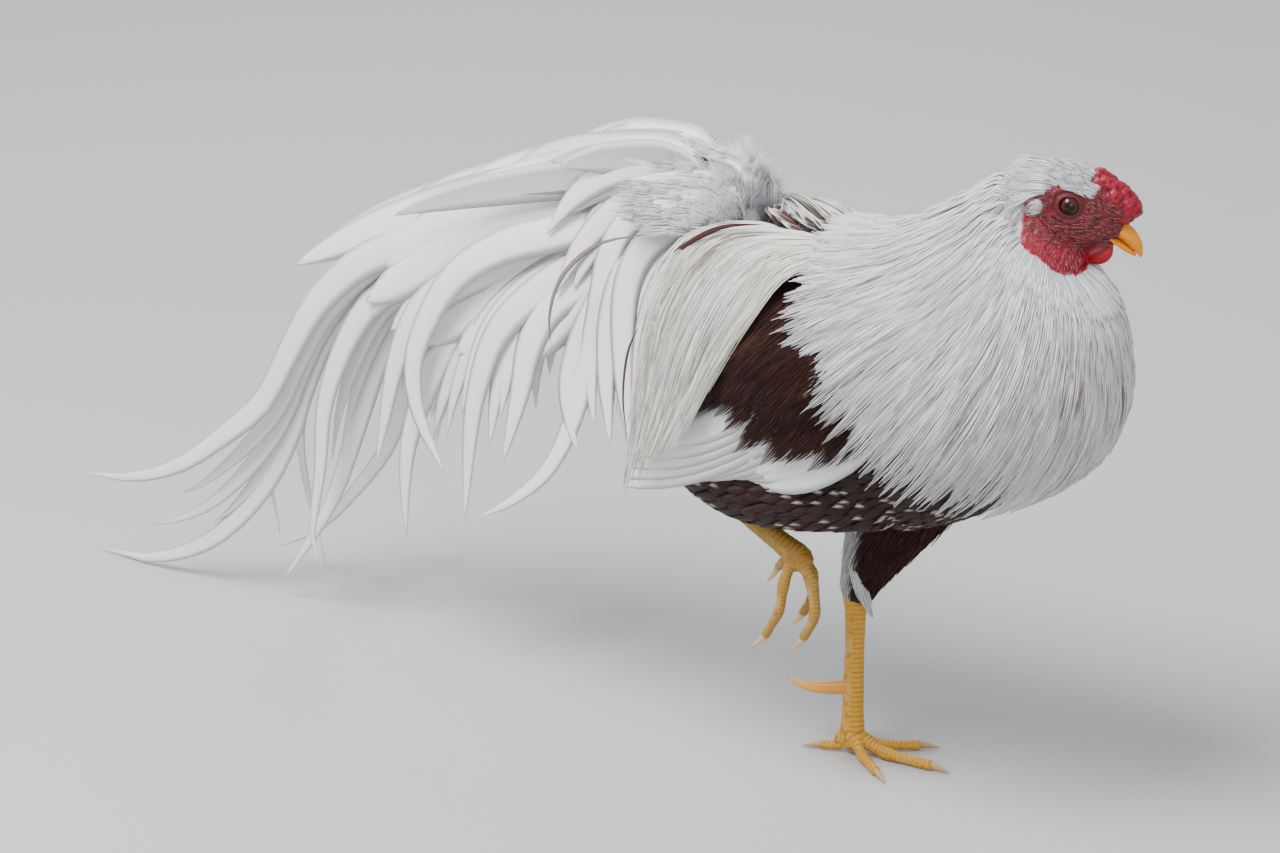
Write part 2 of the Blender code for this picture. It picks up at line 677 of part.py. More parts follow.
body_tree = tree_of([torso, thigh_left, thigh_right])
wing_right = make_wing("wing_right", -1, body_tree)
wing_left = make_wing("wing_left", 1, body_tree)
for obj in (wing_right, wing_left):
    clear_of(obj, torso)
clear_of(wing_right, thigh_right)

# Saddle: a yoke beside the spine carries the long locks that fall over the flank
SADDLE_ROOTS = [(0.004, 0.349), (-0.030, 0.351), (-0.065, 0.350), (-0.094, 0.347)]
SADDLE_MIDS = [(-0.006, 0.325), (-0.052, 0.316), (-0.090, 0.309), (-0.114, 0.306)]
SADDLE_TIPS = [(-0.030, 0.290), (-0.078, 0.252), (-0.108, 0.214), (-0.119, 0.190)]
SADDLE_COUNT = 6
LOCK_POINTS = 6


def make_saddle(name, side, tree):
    yoke_rows = []
    for x, z in [(0.006, 0.3465), (-0.030, 0.3475), (-0.064, 0.3470), (-0.092, 0.3440)]:
        yoke_rows.append((x, BODY_Y + side * 0.019, z - 0.001, 0.0150, 0.0052))
    yoke = tube(name, yoke_rows, 5, 10)
    pieces = []
    for layer in range(2):
        for k in range(SADDLE_COUNT):
            s = (k + 0.5 * layer) / SADDLE_COUNT * 2.95
            root, mid, tip = (row_at(rows, s) for rows in (SADDLE_ROOTS, SADDLE_MIDS, SADDLE_TIPS))
            far = 1.0 - 0.16 * layer + 0.06 * math.sin(2.7 * k + side)
            pts, nrm, last = [], [], None
            for i in range(LOCK_POINTS):
                t = i / (LOCK_POINTS - 1) * far
                x = (1 - t) ** 2 * root[0] + 2 * t * (1 - t) * mid[0] + t * t * tip[0]
                z = (1 - t) ** 2 * root[1] + 2 * t * (1 - t) * mid[1] + t * t * tip[1]
                if i == 0:
                    p, n = Vector((x, BODY_Y + side * 0.020, z - 0.0015)), Vector((0, side * 0.35, 1))
                else:
                    p, n = on_side(tree, x, z, side, 0.0, last)
                    around = [on_side(tree, x + dx, z + dz, side, 0.0, p)[0].y * side
                              for dx, dz in ((0.008, 0), (-0.008, 0), (0, 0.008), (0, -0.008))]
                    p.y = side * (max(p.y * side, *around) + 0.0042 + 0.0026 * layer)
                    if n.z < -0.2:
                        n.z = -0.2
                    if last is not None and side * (p.y - last.y) < -0.004:
                        p.y = last.y - side * 0.003
                last = p
                pts.append(p)
                nrm.append(n)
            pieces.append(lock(pts, nrm, widths_along(LOCK_POINTS, 0.0105, 0.6), LOCK_T))
    return fuse(name, yoke, pieces)


saddle_right = make_saddle("saddle_right", -1, tree_of([torso, thigh_right, wing_right]))
saddle_left = make_saddle("saddle_left", 1, tree_of([torso, thigh_left, wing_left]))
clear_of(saddle_right, torso)
clear_of(saddle_left, torso)

# Tail: lines of the feathers seen from the side, lowest covert to top, as x and z
TAIL_LINES = [
    [(-0.104, 0.330), (-0.122, 0.325), (-0.136, 0.290), (-0.134, 0.250), (-0.126, 0.210)],
    [(-0.104, 0.334), (-0.130, 0.350), (-0.152, 0.321), (-0.159, 0.253), (-0.180, 0.183), (-0.228, 0.143)],
    [(-0.106, 0.336), (-0.150, 0.318), (-0.192, 0.290), (-0.215, 0.245), (-0.225, 0.174)],
    [(-0.106, 0.338), (-0.165, 0.318), (-0.216, 0.283), (-0.250, 0.225), (-0.256, 0.126)],
    [(-0.106, 0.340), (-0.185, 0.318), (-0.252, 0.283), (-0.304, 0.215), (-0.320, 0.094)],
    [(-0.106, 0.342), (-0.215, 0.320), (-0.314, 0.277), (-0.382, 0.216), (-0.407, 0.117), (-0.412, 0.042)],
    [(-0.106, 0.344), (-0.225, 0.310), (-0.338, 0.250), (-0.386, 0.155), (-0.430, 0.064), (-0.474, -0.003)],
    [(-0.106, 0.345), (-0.230, 0.326), (-0.366, 0.262), (-0.432, 0.170), (-0.474, 0.082), (-0.540, 0.018),
     (-0.628, -0.003)],
    [(-0.106, 0.346), (-0.220, 0.336), (-0.345, 0.288), (-0.417, 0.222), (-0.458, 0.153), (-0.530, 0.095),
     (-0.620, 0.071)],
    [(-0.104, 0.350), (-0.179, 0.362), (-0.275, 0.332), (-0.371, 0.291), (-0.440, 0.254)],
    [(-0.104, 0.352), (-0.138, 0.385), (-0.190, 0.378), (-0.262, 0.342)]]
TAIL_POINTS = 8
TAIL_EVEN = [smooth(line, TAIL_POINTS) for line in TAIL_LINES]

# Each feather: which line (0 to 10), side, sideways place at root and tip, half width, share of the line
TAIL = [
    (10.0, -1, 0.006, 0.006, 0.0165, 0.90), (10.0, 1, 0.008, 0.020, 0.0165, 1.00),
    (9.6, -1, 0.010, 0.010, 0.0165, 0.95), (9.0, -1, 0.004, 0.004, 0.0160, 1.00),
    (9.0, 1, 0.006, 0.028, 0.0160, 1.00), (9.4, 1, 0.016, 0.036, 0.0150, 0.90),
    (8.5, -1, 0.014, 0.020, 0.0130, 0.80), (8.0, -1, 0.004, 0.010, 0.0100, 1.00),
    (7.0, 1, 0.003, 0.016, 0.0105, 1.00), (7.5, 1, 0.012, 0.040, 0.0100, 0.86),
    (6.5, -1, 0.012, 0.024, 0.0095, 0.80), (6.0, 1, 0.009, 0.022, 0.0095, 1.00),
    (5.5, 1, 0.017, 0.052, 0.0110, 0.90), (5.0, -1, 0.009, 0.012, 0.0105, 1.00),
    (4.5, -1, 0.014, 0.022, 0.0120, 0.86), (4.0, -1, 0.016, 0.032, 0.0115, 1.00),
    (4.2, 1, 0.015, 0.046, 0.0120, 0.92), (3.5, -1, 0.019, 0.046, 0.0120, 0.86),
    (3.0, -1, 0.020, 0.054, 0.0110, 1.00), (3.0, 1, 0.019, 0.060, 0.0115, 0.94),
    (2.0, -1, 0.018, 0.060, 0.0120, 1.00), (2.0, 1, 0.018, 0.066, 0.0120, 0.94),
    (1.0, -1, 0.021, 0.072, 0.0095, 1.00), (1.0, 1, 0.021, 0.072, 0.0095, 0.88),
    (0.3, -1, 0.022, 0.074, 0.0095, 0.92), (0.3, 1, 0.022, 0.070, 0.0100, 0.92)]
TAIL_ROOT = Vector((-0.106, BODY_Y, 0.340))
tail = egg("tail", TAIL_ROOT, [Vector((-0.94, 0, 0.34)), Vector((0, 1, 0)), Vector((0.34, 0, 0.94))],
           (0.040, 0.027, 0.034), 5, 12)
pieces = []
for line, side, y0, y1, half, share in TAIL:
    low = min(int(line), len(TAIL_EVEN) - 2)
    mix = line - low
    view = TAIL_EVEN[low] * (1 - mix) + TAIL_EVEN[low + 1] * mix
    pts, nrm = [], []
    for k in range(TAIL_POINTS):
        t = k / (TAIL_POINTS - 1) * share
        x, z = row_at(view, t * (TAIL_POINTS - 1))
        y = BODY_Y + side * (y0 + (y1 - y0) * t ** 1.2)
        pts.append(Vector((x, y, z)))
        lean = 0.16 + 0.035 * (10 - line)
        nrm.append(Vector((-0.05, side, lean)))
    pieces.append(vane(pts, nrm, widths_along(len(pts), half, 0.3, 0.0014, 1.35), VANE_T))
# Soft upright plumes over the tail root
for k in range(5):
    a = (k - 2) / 2
    root = Vector((-0.094 - 0.006 * abs(a), BODY_Y + 0.016 * a, 0.352))
    tip = Vector((-0.070 - 0.020 * (k % 3), BODY_Y + 0.034 * a, 0.401 - 0.014 * a * a - 0.003 * (k % 2)))
    bend = [Vector((0.010 * math.sin(math.pi * step / 4), 0, 0)) for step in range(5)]
    pts = [root.lerp(tip, step / 4) + bend[step] for step in range(5)]
    nrm = [Vector((1.0, 0.5 * a, 0.45))] * 5
    pieces.append(lock(pts, nrm, widths_along(5, 0.0100, 0.3, 0.0015, 1.4), LOCK_T))
tail = fuse("tail", tail, pieces)
floor_cut(tail)
clear_of(tail, torso)
for obj in (saddle_left, saddle_right):
    clear_of(obj, tail)


# Hackle: neck core with rows of locks over shoulders and breast
HACKLE_POINTS = 6
under = tree_of([torso, thigh_left, thigh_right, wing_left, wing_right, saddle_left, saddle_right])
core_rings = []
for place, share in NECK_CORE:
    ring = []
    for j in range(16):
        p, _, mid = cape_point(place, 2 * math.pi * j / 16)
        ring.append(mid + (p - mid) * share)
    core_rings.append(ring)
neck = loft("neck", core_rings)
core_tree = tree_of([neck])
pieces = []
for row, (count, root, tip, depth, half) in enumerate(HACKLE_ROWS):
    for k in range(count):
        turn = 2 * math.pi * (k + 0.5 * (row % 2)) / count
        end = tip - 0.32 * abs(math.sin(2.4 * k + row)) - 0.25 * (k % 2)
        pts, nrm = [], []
        for i in range(HACKLE_POINTS):
            t = i / (HACKLE_POINTS - 1)
            place = root + (end - root) * t
            p, out, mid = cape_point(place, turn, depth)
            push = 0.0
            for dplace, dturn in ((0, 0), (0, 0.13), (0, -0.13), (0.25, 0), (-0.25, 0)):
                q, qout, _ = cape_point(place + dplace, turn + dturn, depth)
                push = max(push, (outside(under, q, qout, 0.0026) - q).length)
            p = p + out * push
            if i == 0:
                hit = core_tree.ray_cast(mid + out * 0.2, -out)[0]
                p = hit - out * 0.003 if hit else mid + out * 0.02
            elif i == 1:
                p = p - out * (0.45 * max(0.0, (p - cape_point(root, turn, depth)[0]).length - 0.002))
            pts.append(p)
            nrm.append(out)
        pieces.append(lock(pts, nrm, widths_along(HACKLE_POINTS, half, 0.4), LOCK_T))
neck = fuse("neck", neck, pieces)
make_room(neck, neck_rooms)
clear_of(neck, torso)

# Finishes: plain colours of plumage, skin and horn
WHITE, CREAM, CHESTNUT = (0.78, 0.78, 0.79), (0.76, 0.72, 0.60), (0.075, 0.022, 0.014)
RED, YELLOW, HORN, GREY = (0.42, 0.015, 0.030), (0.62, 0.36, 0.07), (0.70, 0.36, 0.05), (0.33, 0.29, 0.26)
FINISHES = [
    (CHESTNUT, 0.70, [torso, thigh_left, thigh_right, wing_left, wing_right]),
    (WHITE, 0.65, [neck, tail, *ears]), (CREAM, 0.60, [saddle_left, saddle_right]),
    (RED, 0.45, [head, comb, *wattles]), (YELLOW, 0.50, [shank_left, shank_right, foot_left, foot_right]),
    (HORN, 0.35, [beak_upper, beak_lower, spur_left, spur_right, *claws]), ((0.03, 0.012, 0.008), 0.08, eyes)]
total = 0
for colour, roughness, members in FINISHES:
    for obj in members:
        finish(obj, colour, roughness)
        total += len(obj.data.polygons)
print("triangles", total)
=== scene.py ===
# %% [markdown]
# # A long-tailed cock, walking
# This lesson dresses a plain solid model of a long-tailed cock in skin, scales, horn and feathers.
# The solids come first and stay where they are: they are the frame that every feather is measured against.

# %% Load the frame
import math

import bmesh
import bpy
import numpy as np
from mathutils import Matrix, Vector, noise
from mathutils.bvhtree import BVHTree


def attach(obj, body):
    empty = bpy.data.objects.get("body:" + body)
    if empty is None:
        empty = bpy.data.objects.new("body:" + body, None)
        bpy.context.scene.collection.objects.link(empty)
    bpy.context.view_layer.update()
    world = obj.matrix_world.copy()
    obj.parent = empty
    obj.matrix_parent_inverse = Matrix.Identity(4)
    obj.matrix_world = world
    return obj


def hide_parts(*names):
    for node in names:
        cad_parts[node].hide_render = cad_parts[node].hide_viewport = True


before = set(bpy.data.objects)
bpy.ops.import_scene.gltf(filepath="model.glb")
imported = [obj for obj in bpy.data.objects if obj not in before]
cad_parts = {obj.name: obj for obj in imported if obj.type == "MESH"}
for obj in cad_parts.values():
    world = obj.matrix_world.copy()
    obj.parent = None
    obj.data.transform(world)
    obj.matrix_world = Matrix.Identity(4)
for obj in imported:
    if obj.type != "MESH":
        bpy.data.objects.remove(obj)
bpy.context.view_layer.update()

print("nodes in the frame:", len(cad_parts))

# %% [markdown]
# Most of a bird is made of smooth rows: a row of body rings, a row of points down a feather.
# One function passes a smooth curve through a few measured rows, so each form needs only a few numbers.

# %% Smooth rows
BODY_Y = -0.022
X, Y, Z = Vector((1, 0, 0)), Vector((0, 1, 0)), Vector((0, 0, 1))


def row_at(rows, place):
    pts = np.array(rows, dtype=float)
    ext = np.vstack([2 * pts[0] - pts[1], pts, 2 * pts[-1] - pts[-2]])
    place = np.clip(np.asarray(place, dtype=float), 0.0, len(pts) - 1.0)
    i = np.minimum(place.astype(int), len(pts) - 2)
    f = (place - i)[..., None]
    a, b, c, d = ext[i], ext[i + 1], ext[i + 2], ext[i + 3]
    return 0.5 * (2 * b + (c - a) * f + (2 * a - 5 * b + 4 * c - d) * f * f + (3 * b - a - 3 * c + d) * f ** 3)


def smooth(rows, count):
    return row_at(rows, np.linspace(0, len(rows) - 1, count))


def unit(vectors):
    vectors = np.asarray(vectors, dtype=float)
    return vectors / np.maximum(np.linalg.norm(vectors, axis=-1, keepdims=True), 1e-9)


def pack(*columns):
    return np.stack(np.broadcast_arrays(*columns), axis=-1)


def run_length(line):
    steps = np.linalg.norm(np.diff(line, axis=-2), axis=-1)
    return np.concatenate([np.zeros_like(steps[..., :1]), np.cumsum(steps, axis=-1)], axis=-1)


# %% [markdown]
# Flesh is modelled as overlapping closed forms: a loft for the body, tubes for limbs, eggs for lobes.
# Each starts from circles that are bridged, and a voxel remesh then melts the forms into one skin.

# %% Rings, lofts, tubes and eggs
def ring(bm, centre, across, upward, half_across, half_up, sides):
    a, u = across.normalized(), upward.normalized()
    turn = Matrix((a * half_across, u * half_up, a.cross(u) * 0.01)).transposed().to_4x4()
    made = bmesh.ops.create_circle(bm, segments=sides, radius=1.0, matrix=Matrix.Translation(centre) @ turn)
    loop = set(made["verts"])
    return [e for e in bm.edges if e.verts[0] in loop and e.verts[1] in loop]


def bridge(bm, rings):
    for a, b in zip(rings, rings[1:]):
        bmesh.ops.bridge_loops(bm, edges=a + b)
    for end in (rings[0], rings[-1]):
        bmesh.ops.contextual_create(bm, geom=end)


def tube(bm, rows, count, sides, hint=Y):
    data = smooth(rows, count)
    pts = [Vector(r[:3]) for r in data]
    rings = []
    for k, p in enumerate(pts):
        ahead = (pts[min(k + 1, count - 1)] - pts[max(k - 1, 0)]).normalized()
        side = (hint - ahead * hint.dot(ahead)).normalized()
        rings.append(ring(bm, p, side, ahead.cross(side), data[k][3], data[k][4], sides))
    bridge(bm, rings)


def egg(bm, centre, axes, radii, segments=24):
    turn = Matrix([a.normalized() * r for a, r in zip(axes, radii)]).transposed().to_4x4()
    bmesh.ops.create_uvsphere(bm, u_segments=segments, v_segments=segments // 2, radius=1.0,
                              matrix=Matrix.Translation(centre) @ turn)


# %% [markdown]
# A finished form becomes a piece of the scene. Settling applies its modifiers, and melting is a voxel remesh and a
# little smoothing. Points and normals are read and written as arrays, because loops over vertices are slow.

# %% Pieces, melting and points
def link(name, data):
    thing = bpy.data.objects.new(name, data)
    bpy.context.scene.collection.objects.link(thing)
    return thing


def make_piece(name, bm):
    bmesh.ops.recalc_face_normals(bm, faces=bm.faces)
    mesh = bpy.data.meshes.new(name)
    bm.to_mesh(mesh)
    bm.free()
    return link(name, mesh)


def settle(piece):
    graph = bpy.context.evaluated_depsgraph_get()
    mesh = bpy.data.meshes.new_from_object(piece.evaluated_get(graph))
    piece.modifiers.clear()
    old = piece.data
    piece.data = mesh
    bpy.data.meshes.remove(old)
    mesh.name = piece.name


def melt(piece, voxel, rounds):
    remesh = piece.modifiers.new("melt", "REMESH")
    remesh.mode = "VOXEL"
    remesh.voxel_size = voxel
    soften = piece.modifiers.new("soften", "SMOOTH")
    soften.iterations = rounds
    settle(piece)


def points_of(mesh):
    pts = np.empty(len(mesh.vertices) * 3)
    mesh.vertices.foreach_get("co", pts)
    return pts.reshape(-1, 3)


def normals_of(mesh):
    out = np.empty(len(mesh.vertices) * 3)
    mesh.vertex_normals.foreach_get("vector", out)
    return out.reshape(-1, 3)


def move_points(mesh, pts):
    mesh.vertices.foreach_set("co", pts.ravel())
    mesh.update()


def shade_smooth(mesh):
    mesh.polygons.foreach_set("use_smooth", np.ones(len(mesh.polygons), dtype=bool))


# %% [markdown]
# The head is turned towards us and tipped down, so it gets measures of its own.
# Forward, left and up are in millimetres from the point between the eyes, as a carver would mark them.

# %% Head measures
HEAD_AT = Vector((0.1483, -0.0050, 0.4024))
HEAD_YAW, HEAD_PITCH = math.radians(26.0), math.radians(-22.0)
FWD = Vector((math.cos(HEAD_YAW) * math.cos(HEAD_PITCH), math.sin(HEAD_YAW) * math.cos(HEAD_PITCH),
              math.sin(HEAD_PITCH)))
LEFT = Vector((-math.sin(HEAD_YAW), math.cos(HEAD_YAW), 0.0))
UP = FWD.cross(LEFT)
HEAD_TURN = np.array([FWD, LEFT, UP])
EYE_SIDE, EYE_R, SOCKET_SIDE = 11.6, 6.4, 12.6


def head_point(f, s, u):
    return HEAD_AT + (FWD * f + LEFT * s + UP * u) * 0.001


def head_place(pts):
    return (pts - np.array(HEAD_AT)) @ HEAD_TURN.T * 1000.0


def head_to_world(place):
    return np.array(HEAD_AT) + place @ HEAD_TURN * 0.001


def head_loft(bm, rows, count, sides):
    rings = []
    for f, w, top, bottom in smooth(rows, count):
        rings.append(ring(bm, head_point(f, 0, (top + bottom) / 2), LEFT, UP, w * 0.001, (top - bottom) * 0.0005,
                          sides))
    bridge(bm, rings)


print("head looks along", [round(c, 3) for c in FWD])

# %% [markdown]
# The hackle is the cape of long feathers from nape to shoulders. Its outer lie is a row of slanted rings,
# each given by its back and front point (x and z), its sideways place, its half width and how far its sides sag.
# Skin and feathers both ask this one function where the cape lies.

# %% Outer lie of the cape
CAPE = [
    (0.118, 0.417, 0.160, 0.376, -0.009, 0.022, 0.000), (0.090, 0.405, 0.172, 0.358, -0.015, 0.034, 0.000),
    (0.066, 0.389, 0.190, 0.335, -0.019, 0.051, 0.000), (0.042, 0.376, 0.197, 0.304, -0.022, 0.068, 0.001),
    (0.018, 0.369, 0.196, 0.276, -0.022, 0.082, 0.003), (-0.006, 0.368, 0.185, 0.248, -0.022, 0.091, 0.012),
    (-0.026, 0.369, 0.166, 0.227, -0.022, 0.095, 0.028), (-0.045, 0.370, 0.142, 0.212, -0.022, 0.094, 0.044)]
CAPE_END = len(CAPE) - 1
NECK_CORE = [(0.05, 0.86), (0.9, 0.80), (1.7, 0.76), (2.5, 0.72), (3.3, 0.68), (4.0, 0.62)]
NECK_SLIM = [(0.6, 0.50), (1.3, 0.66), (1.9, 0.74)]


def cape_point(place, turn):
    row = row_at(CAPE, place)
    bx, bz, fx, fz, my, w, sag = np.moveaxis(row, -1, 0)
    mid = pack((bx + fx) / 2, my, (bz + fz) / 2)
    half = pack((fx - bx) / 2, 0.0, (fz - bz) / 2)
    c, s = np.cos(turn), np.sin(turn)
    point = mid + half * c[..., None] + pack(0.0, w * s, -sag * s * s)
    return point, unit(point - mid), mid


def neck(bm, rows):
    around = np.linspace(0, 2 * math.pi, 20, endpoint=False)
    rings = []
    for place, share in rows:
        edge, _, mid = cape_point(np.full(20, place), around)
        edge = mid + (edge - mid) * share
        half_span = Vector((edge[0] - edge[10]) / 2)
        rings.append(ring(bm, Vector(mid[0]), half_span, Y, half_span.length, (edge[5] - edge[15])[1] / 2, 24))
    bridge(bm, rings)


# %% [markdown]
# Head flesh: skull, walnut comb, ear lobes, wattles, dewlap and the thick fold behind the cheek.
# They are one living skin on the bird, so all go into one bmesh and melt together at a fine voxel.

# %% Head flesh
HEAD = [(-34, 11, 5, -16), (-26, 14.6, 11, -22), (-14, 16.6, 18, -30), (-2, 16.6, 21.5, -34.5),
        (8, 15.6, 21.5, -36), (17, 14, 17, -31), (25, 11.2, 11, -22), (31, 8.8, 4.6, -15), (35, 6.6, 1, -11.5)]
COMB = [(4, 3.0, 21, 16), (9, 7.0, 24.5, 10), (16, 9.0, 23.6, 5), (23, 10.0, 21.6, 0), (30, 9.6, 20.2, -4),
        (35.5, 8.0, 16.6, -1.0), (39.5, 5.4, 13.4, 4.5), (42.0, 2.0, 10.6, 7.6)]
RIM = [(-26, 13.5, -6), (-25, 14.5, -15), (-19, 14.8, -24), (-10, 14.2, -31.5), (-1, 12.6, -35.5), (9, 10.0, -37.5),
       (17, 6.8, -37.5)]
DEWLAP = [(8, 3.4, -30, -39), (15, 3.6, -28, -41.5), (19.5, 2.6, -27, -44.5), (22.3, 2, -25, -39),
          (24.5, 1.4, -21, -31)]
EAR_AT, WATTLE_AT = (-18.2, 15.4, -8.5), (27.0, 5.4, -21.0)
FACE_EDGE = (-30, -22, -6, 7, 20, 23.5, 26, 40), (-8, -26, -37, -42, -46, -43, -31, -29)
CROWN_EDGE = (-28, -16.5, -11.7, 3.3, 11.5, 14.5), (-2, 3.5, 9, 10.5, 9.5, 20)
HEAD_VOXEL = 0.0008
flesh = bmesh.new()
head_loft(flesh, HEAD, 20, 32)
head_loft(flesh, COMB, 16, 20)
head_loft(flesh, DEWLAP, 12, 12)
for side in (-1, 1):
    rows = [(*head_point(f, side * s, u), 0.0040 if 0 < k < 6 else 0.0030, 0.0044 if 0 < k < 6 else 0.0034)
            for k, (f, s, u) in enumerate(RIM)]
    tube(flesh, rows, 16, 12, LEFT * side)
    for (f, s, u), radii in ((EAR_AT, (0.0030, 0.0042, 0.0050)), (WATTLE_AT, (0.0032, 0.0100, 0.0096))):
        egg(flesh, head_point(f, side * s, u), [LEFT, FWD, UP], radii)
neck(flesh, NECK_CORE[:3])
head_flesh = make_piece("head_flesh", flesh)
melt(head_flesh, HEAD_VOXEL, 3)
print("head flesh points:", len(head_flesh.data.vertices))

# %% [markdown]
# Now the skin is worked like clay: each point moves a little along its normal.
# The eye gets a socket and a raised lid, the comb its walnut lumps, the cheek fine wrinkles,
# and the fold behind it a bead of warts. Distances to a few measured lines say where each begins and ends.

# %% Working the head skin
def fade(value, low, high):
    t = np.clip((value - low) / (high - low), 0.0, 1.0)
    return t * t * (3 - 2 * t)


def mixed(base, other, share):
    return np.asarray(base) * (1 - share) + np.asarray(other) * share


def hump(value, centre, width):
    return np.exp(-((value - centre) / width) ** 2)


def from_stretch(pts, a, b):
    ab = b - a
    k = np.clip(((pts - a) @ ab) / (ab @ ab), 0, 1)
    return k, pts - a - k[:, None] * ab


def distance_to_line(pts, line):
    gaps = [np.linalg.norm(from_stretch(pts, a, b)[1], axis=1) for a, b in zip(line[:-1], line[1:])]
    return np.minimum.reduce(gaps)


def lumps(pts, size, seed):
    shift = Vector((seed * 3.1, seed * 1.7, seed * 2.3))
    near = np.array([noise.voronoi(Vector(p) / size + shift)[0][0] for p in pts])
    return 1.0 - np.clip(near, 0, 1) ** 2


def folds(pts, size, seed):
    shift = Vector((seed * 2.9, seed * 1.3, seed * 3.7))
    return np.array([noise.noise(Vector(p) / size + shift) for p in pts])


pts, out = points_of(head_flesh.data), normals_of(head_flesh.data)
f, s, u = head_place(pts).T
wide = np.abs(s)
near_rim = distance_to_line(pack(f, wide, u), smooth(RIM, 24))
on_comb = fade(u - 0.35 * (24 - f), 9.5, 12.5) * fade(f, 5, 9) * (1 - fade(wide, 11, 13))
on_comb = np.maximum(on_comb, fade(f, 31, 33) * fade(u, -1.5, 0.5))
eye_r = np.hypot(f / 1.12, u)
on_side_face = fade(wide, 9, 12)
past_flap = (f - 35.1) * 0.790 - (u + 13.5) * 0.613
low_front = fade(f, 18, 21) * (1 - fade(u, -14.5, -12.5)) * fade(wide, 2.0, 3.5) * fade(u, -34, -32)
on_wattle = fade(past_flap, -0.6, 0.4) * low_front * fade(u, -30.5, -29)
on_ear = 1 - fade(np.hypot((f - EAR_AT[0]) / 4.4, (u - EAR_AT[2]) / 5.0), 0.75, 1.15)
above_edge = u - np.interp(f, *FACE_EDGE)
on_rim = (1 - fade(above_edge, 6, 9.5)) * (1 - fade(f, 17, 20)) * on_side_face
on_rim = np.maximum(1 - fade(near_rim, 4.5, 7.5), on_rim)
bare = fade(f + 0.35 * u, -31, -27) * (1 - fade(u - np.interp(f, *CROWN_EDGE), -1.8, 1.8))
bare = np.maximum(bare, np.maximum(on_comb, fade(f, 20, 24)))
bare = bare * fade(above_edge, -3.0, 0.0)
wavy = eye_r + 0.7 * folds(pts, 0.006, 12)
lid = hump(eye_r, 6.0, 0.7) * 0.45 - hump(wavy, 8.2, 0.7) * 0.5
lid = lid + 0.35 * hump(wavy, 9.8, 0.7) - 0.3 * hump(wavy, 11.6, 0.6)
lift = on_side_face * lid * bare
knobs, grains = lumps(pts, 0.0060, 1), lumps(pts, 0.0027, 2)
lift = lift + on_comb * (2.8 * knobs + 1.5 * grains - 2.4)
lift = lift + bare * low_front * (hump(past_flap, -1.6, 1.4) - 0.6 * hump(past_flap, 0.8, 0.8))
lift = lift + on_rim * bare * (1 - on_comb) * (0.9 * lumps(pts, 0.0042, 3) + 0.7 * lumps(pts, 0.0022, 8) - 0.6)
cheek = bare * (1 - on_comb) * (1 - on_rim) * (1 - on_wattle) * fade(eye_r, 7.5, 9.5)
lift = lift + cheek * (0.45 * lumps(pts, 0.0021, 4) + 0.6 * folds(pts, 0.0035, 5))
lift = lift + 0.25 * on_wattle * folds(pts, 0.006, 6)
nostril = on_side_face * hump(f, 18.5, 1.7) * hump(u, -1.4, 0.9)
lift = lift - 1.6 * nostril
pts = pts + out * (lift * 0.001)[:, None]
socket = on_side_face * (1 - fade(eye_r, 4.4, 5.1))
goal = head_place(pts)
goal[:, 1] = np.where(socket > 0, np.sign(s) * mixed(wide, SOCKET_SIDE, socket), goal[:, 1])
pts = np.where((socket > 0)[:, None], head_to_world(goal), pts)
move_points(head_flesh.data, pts)
head_points = pts
print("deepest lump %.2f mm, highest %.2f mm" % (lift.min(), lift.max()))

# %% [markdown]
# Skin colour is painted onto the points in layers, one region after another, so it shows the same from every side.
# Materials later read it back as the attribute named tint.

# %% Head paint
CRIMSON, BRICK, LID, LOBE = (0.31, 0.001, 0.020), (0.12, 0.005, 0.012), (0.070, 0.005, 0.007), (0.74, 0.66, 0.62)
PURPLE, SCARLET, EYE_RING = (0.22, 0.003, 0.018), (0.50, 0.002, 0.011), (0.135, 0.010, 0.010)
NOSTRIL_SHADE, BORDER = (0.02, 0.006, 0.006), (0.16, 0.035, 0.035)
WHITE, CREAM = np.array((0.90, 0.90, 0.90)), np.array((0.90, 0.86, 0.70))
CHESTNUT, TAN = np.array((0.042, 0.0095, 0.0055)), np.array((0.24, 0.11, 0.065))


def blend(base, colour, share):
    return mixed(base, colour, share[:, None])


def paint(mesh, colours):
    rgba = np.ones((len(mesh.vertices), 4))
    rgba[:, :3] = np.clip(colours, 0, 1)
    layer = mesh.attributes.new("tint", "FLOAT_COLOR", "POINT")
    layer.data.foreach_set("color", rgba.ravel())


HEAD_PAINT = [
    (CRIMSON, np.clip(on_rim + on_comb + fade(-u, 20, 27) + on_wattle, 0, 1)),
    (PURPLE, fade(folds(pts, 0.004, 7), -0.1, 0.4) * cheek), (SCARLET, on_wattle),
    (EYE_RING, hump(eye_r, 5.5, 2.4) * on_side_face), (LID, hump(eye_r, 5.1, 0.6) * on_side_face),
    # the nostril dent is painted near-black as painted shade of its opening
    (LOBE, on_ear * on_side_face), (NOSTRIL_SHADE, nostril),
    (BORDER, fade(1 - bare, 0.2, 0.7) * (1 - fade(-f, 12, 20))),
    (WHITE, np.maximum((1 - bare) * fade(-f, 12, 20), fade(1 - bare, 0.97, 1.0) * fade(u, 14, 17)))]
tone = np.tile(BRICK, (len(pts), 1))
for colour, share in HEAD_PAINT:
    tone = blend(tone, colour, share)
warty = np.clip(on_comb + on_rim * (1 - on_comb), 0, 1) * bare
# Painted shade and light: the skin is darker where it is pressed in and a little lighter where it is raised, and the
# comb and rim are darkened between their lumps as painted shade in the crevices.
tone = tone * (0.80 + 0.25 * fade(lift, -0.5, 1.0))[:, None]
tone = tone * (1 - 0.45 * warty * (1 - fade(0.5 * (knobs + grains), 0.35, 0.85)))[:, None]
paint(head_flesh.data, tone)
print("layers of head paint:", len(HEAD_PAINT))

# %% [markdown]
# The body skin is a slim bird: torso, shoulders under the cape, folded wings as low lenses and two thighs.
# It lies a coat's depth inside the solids, so that feathers, not skin, give the outline.

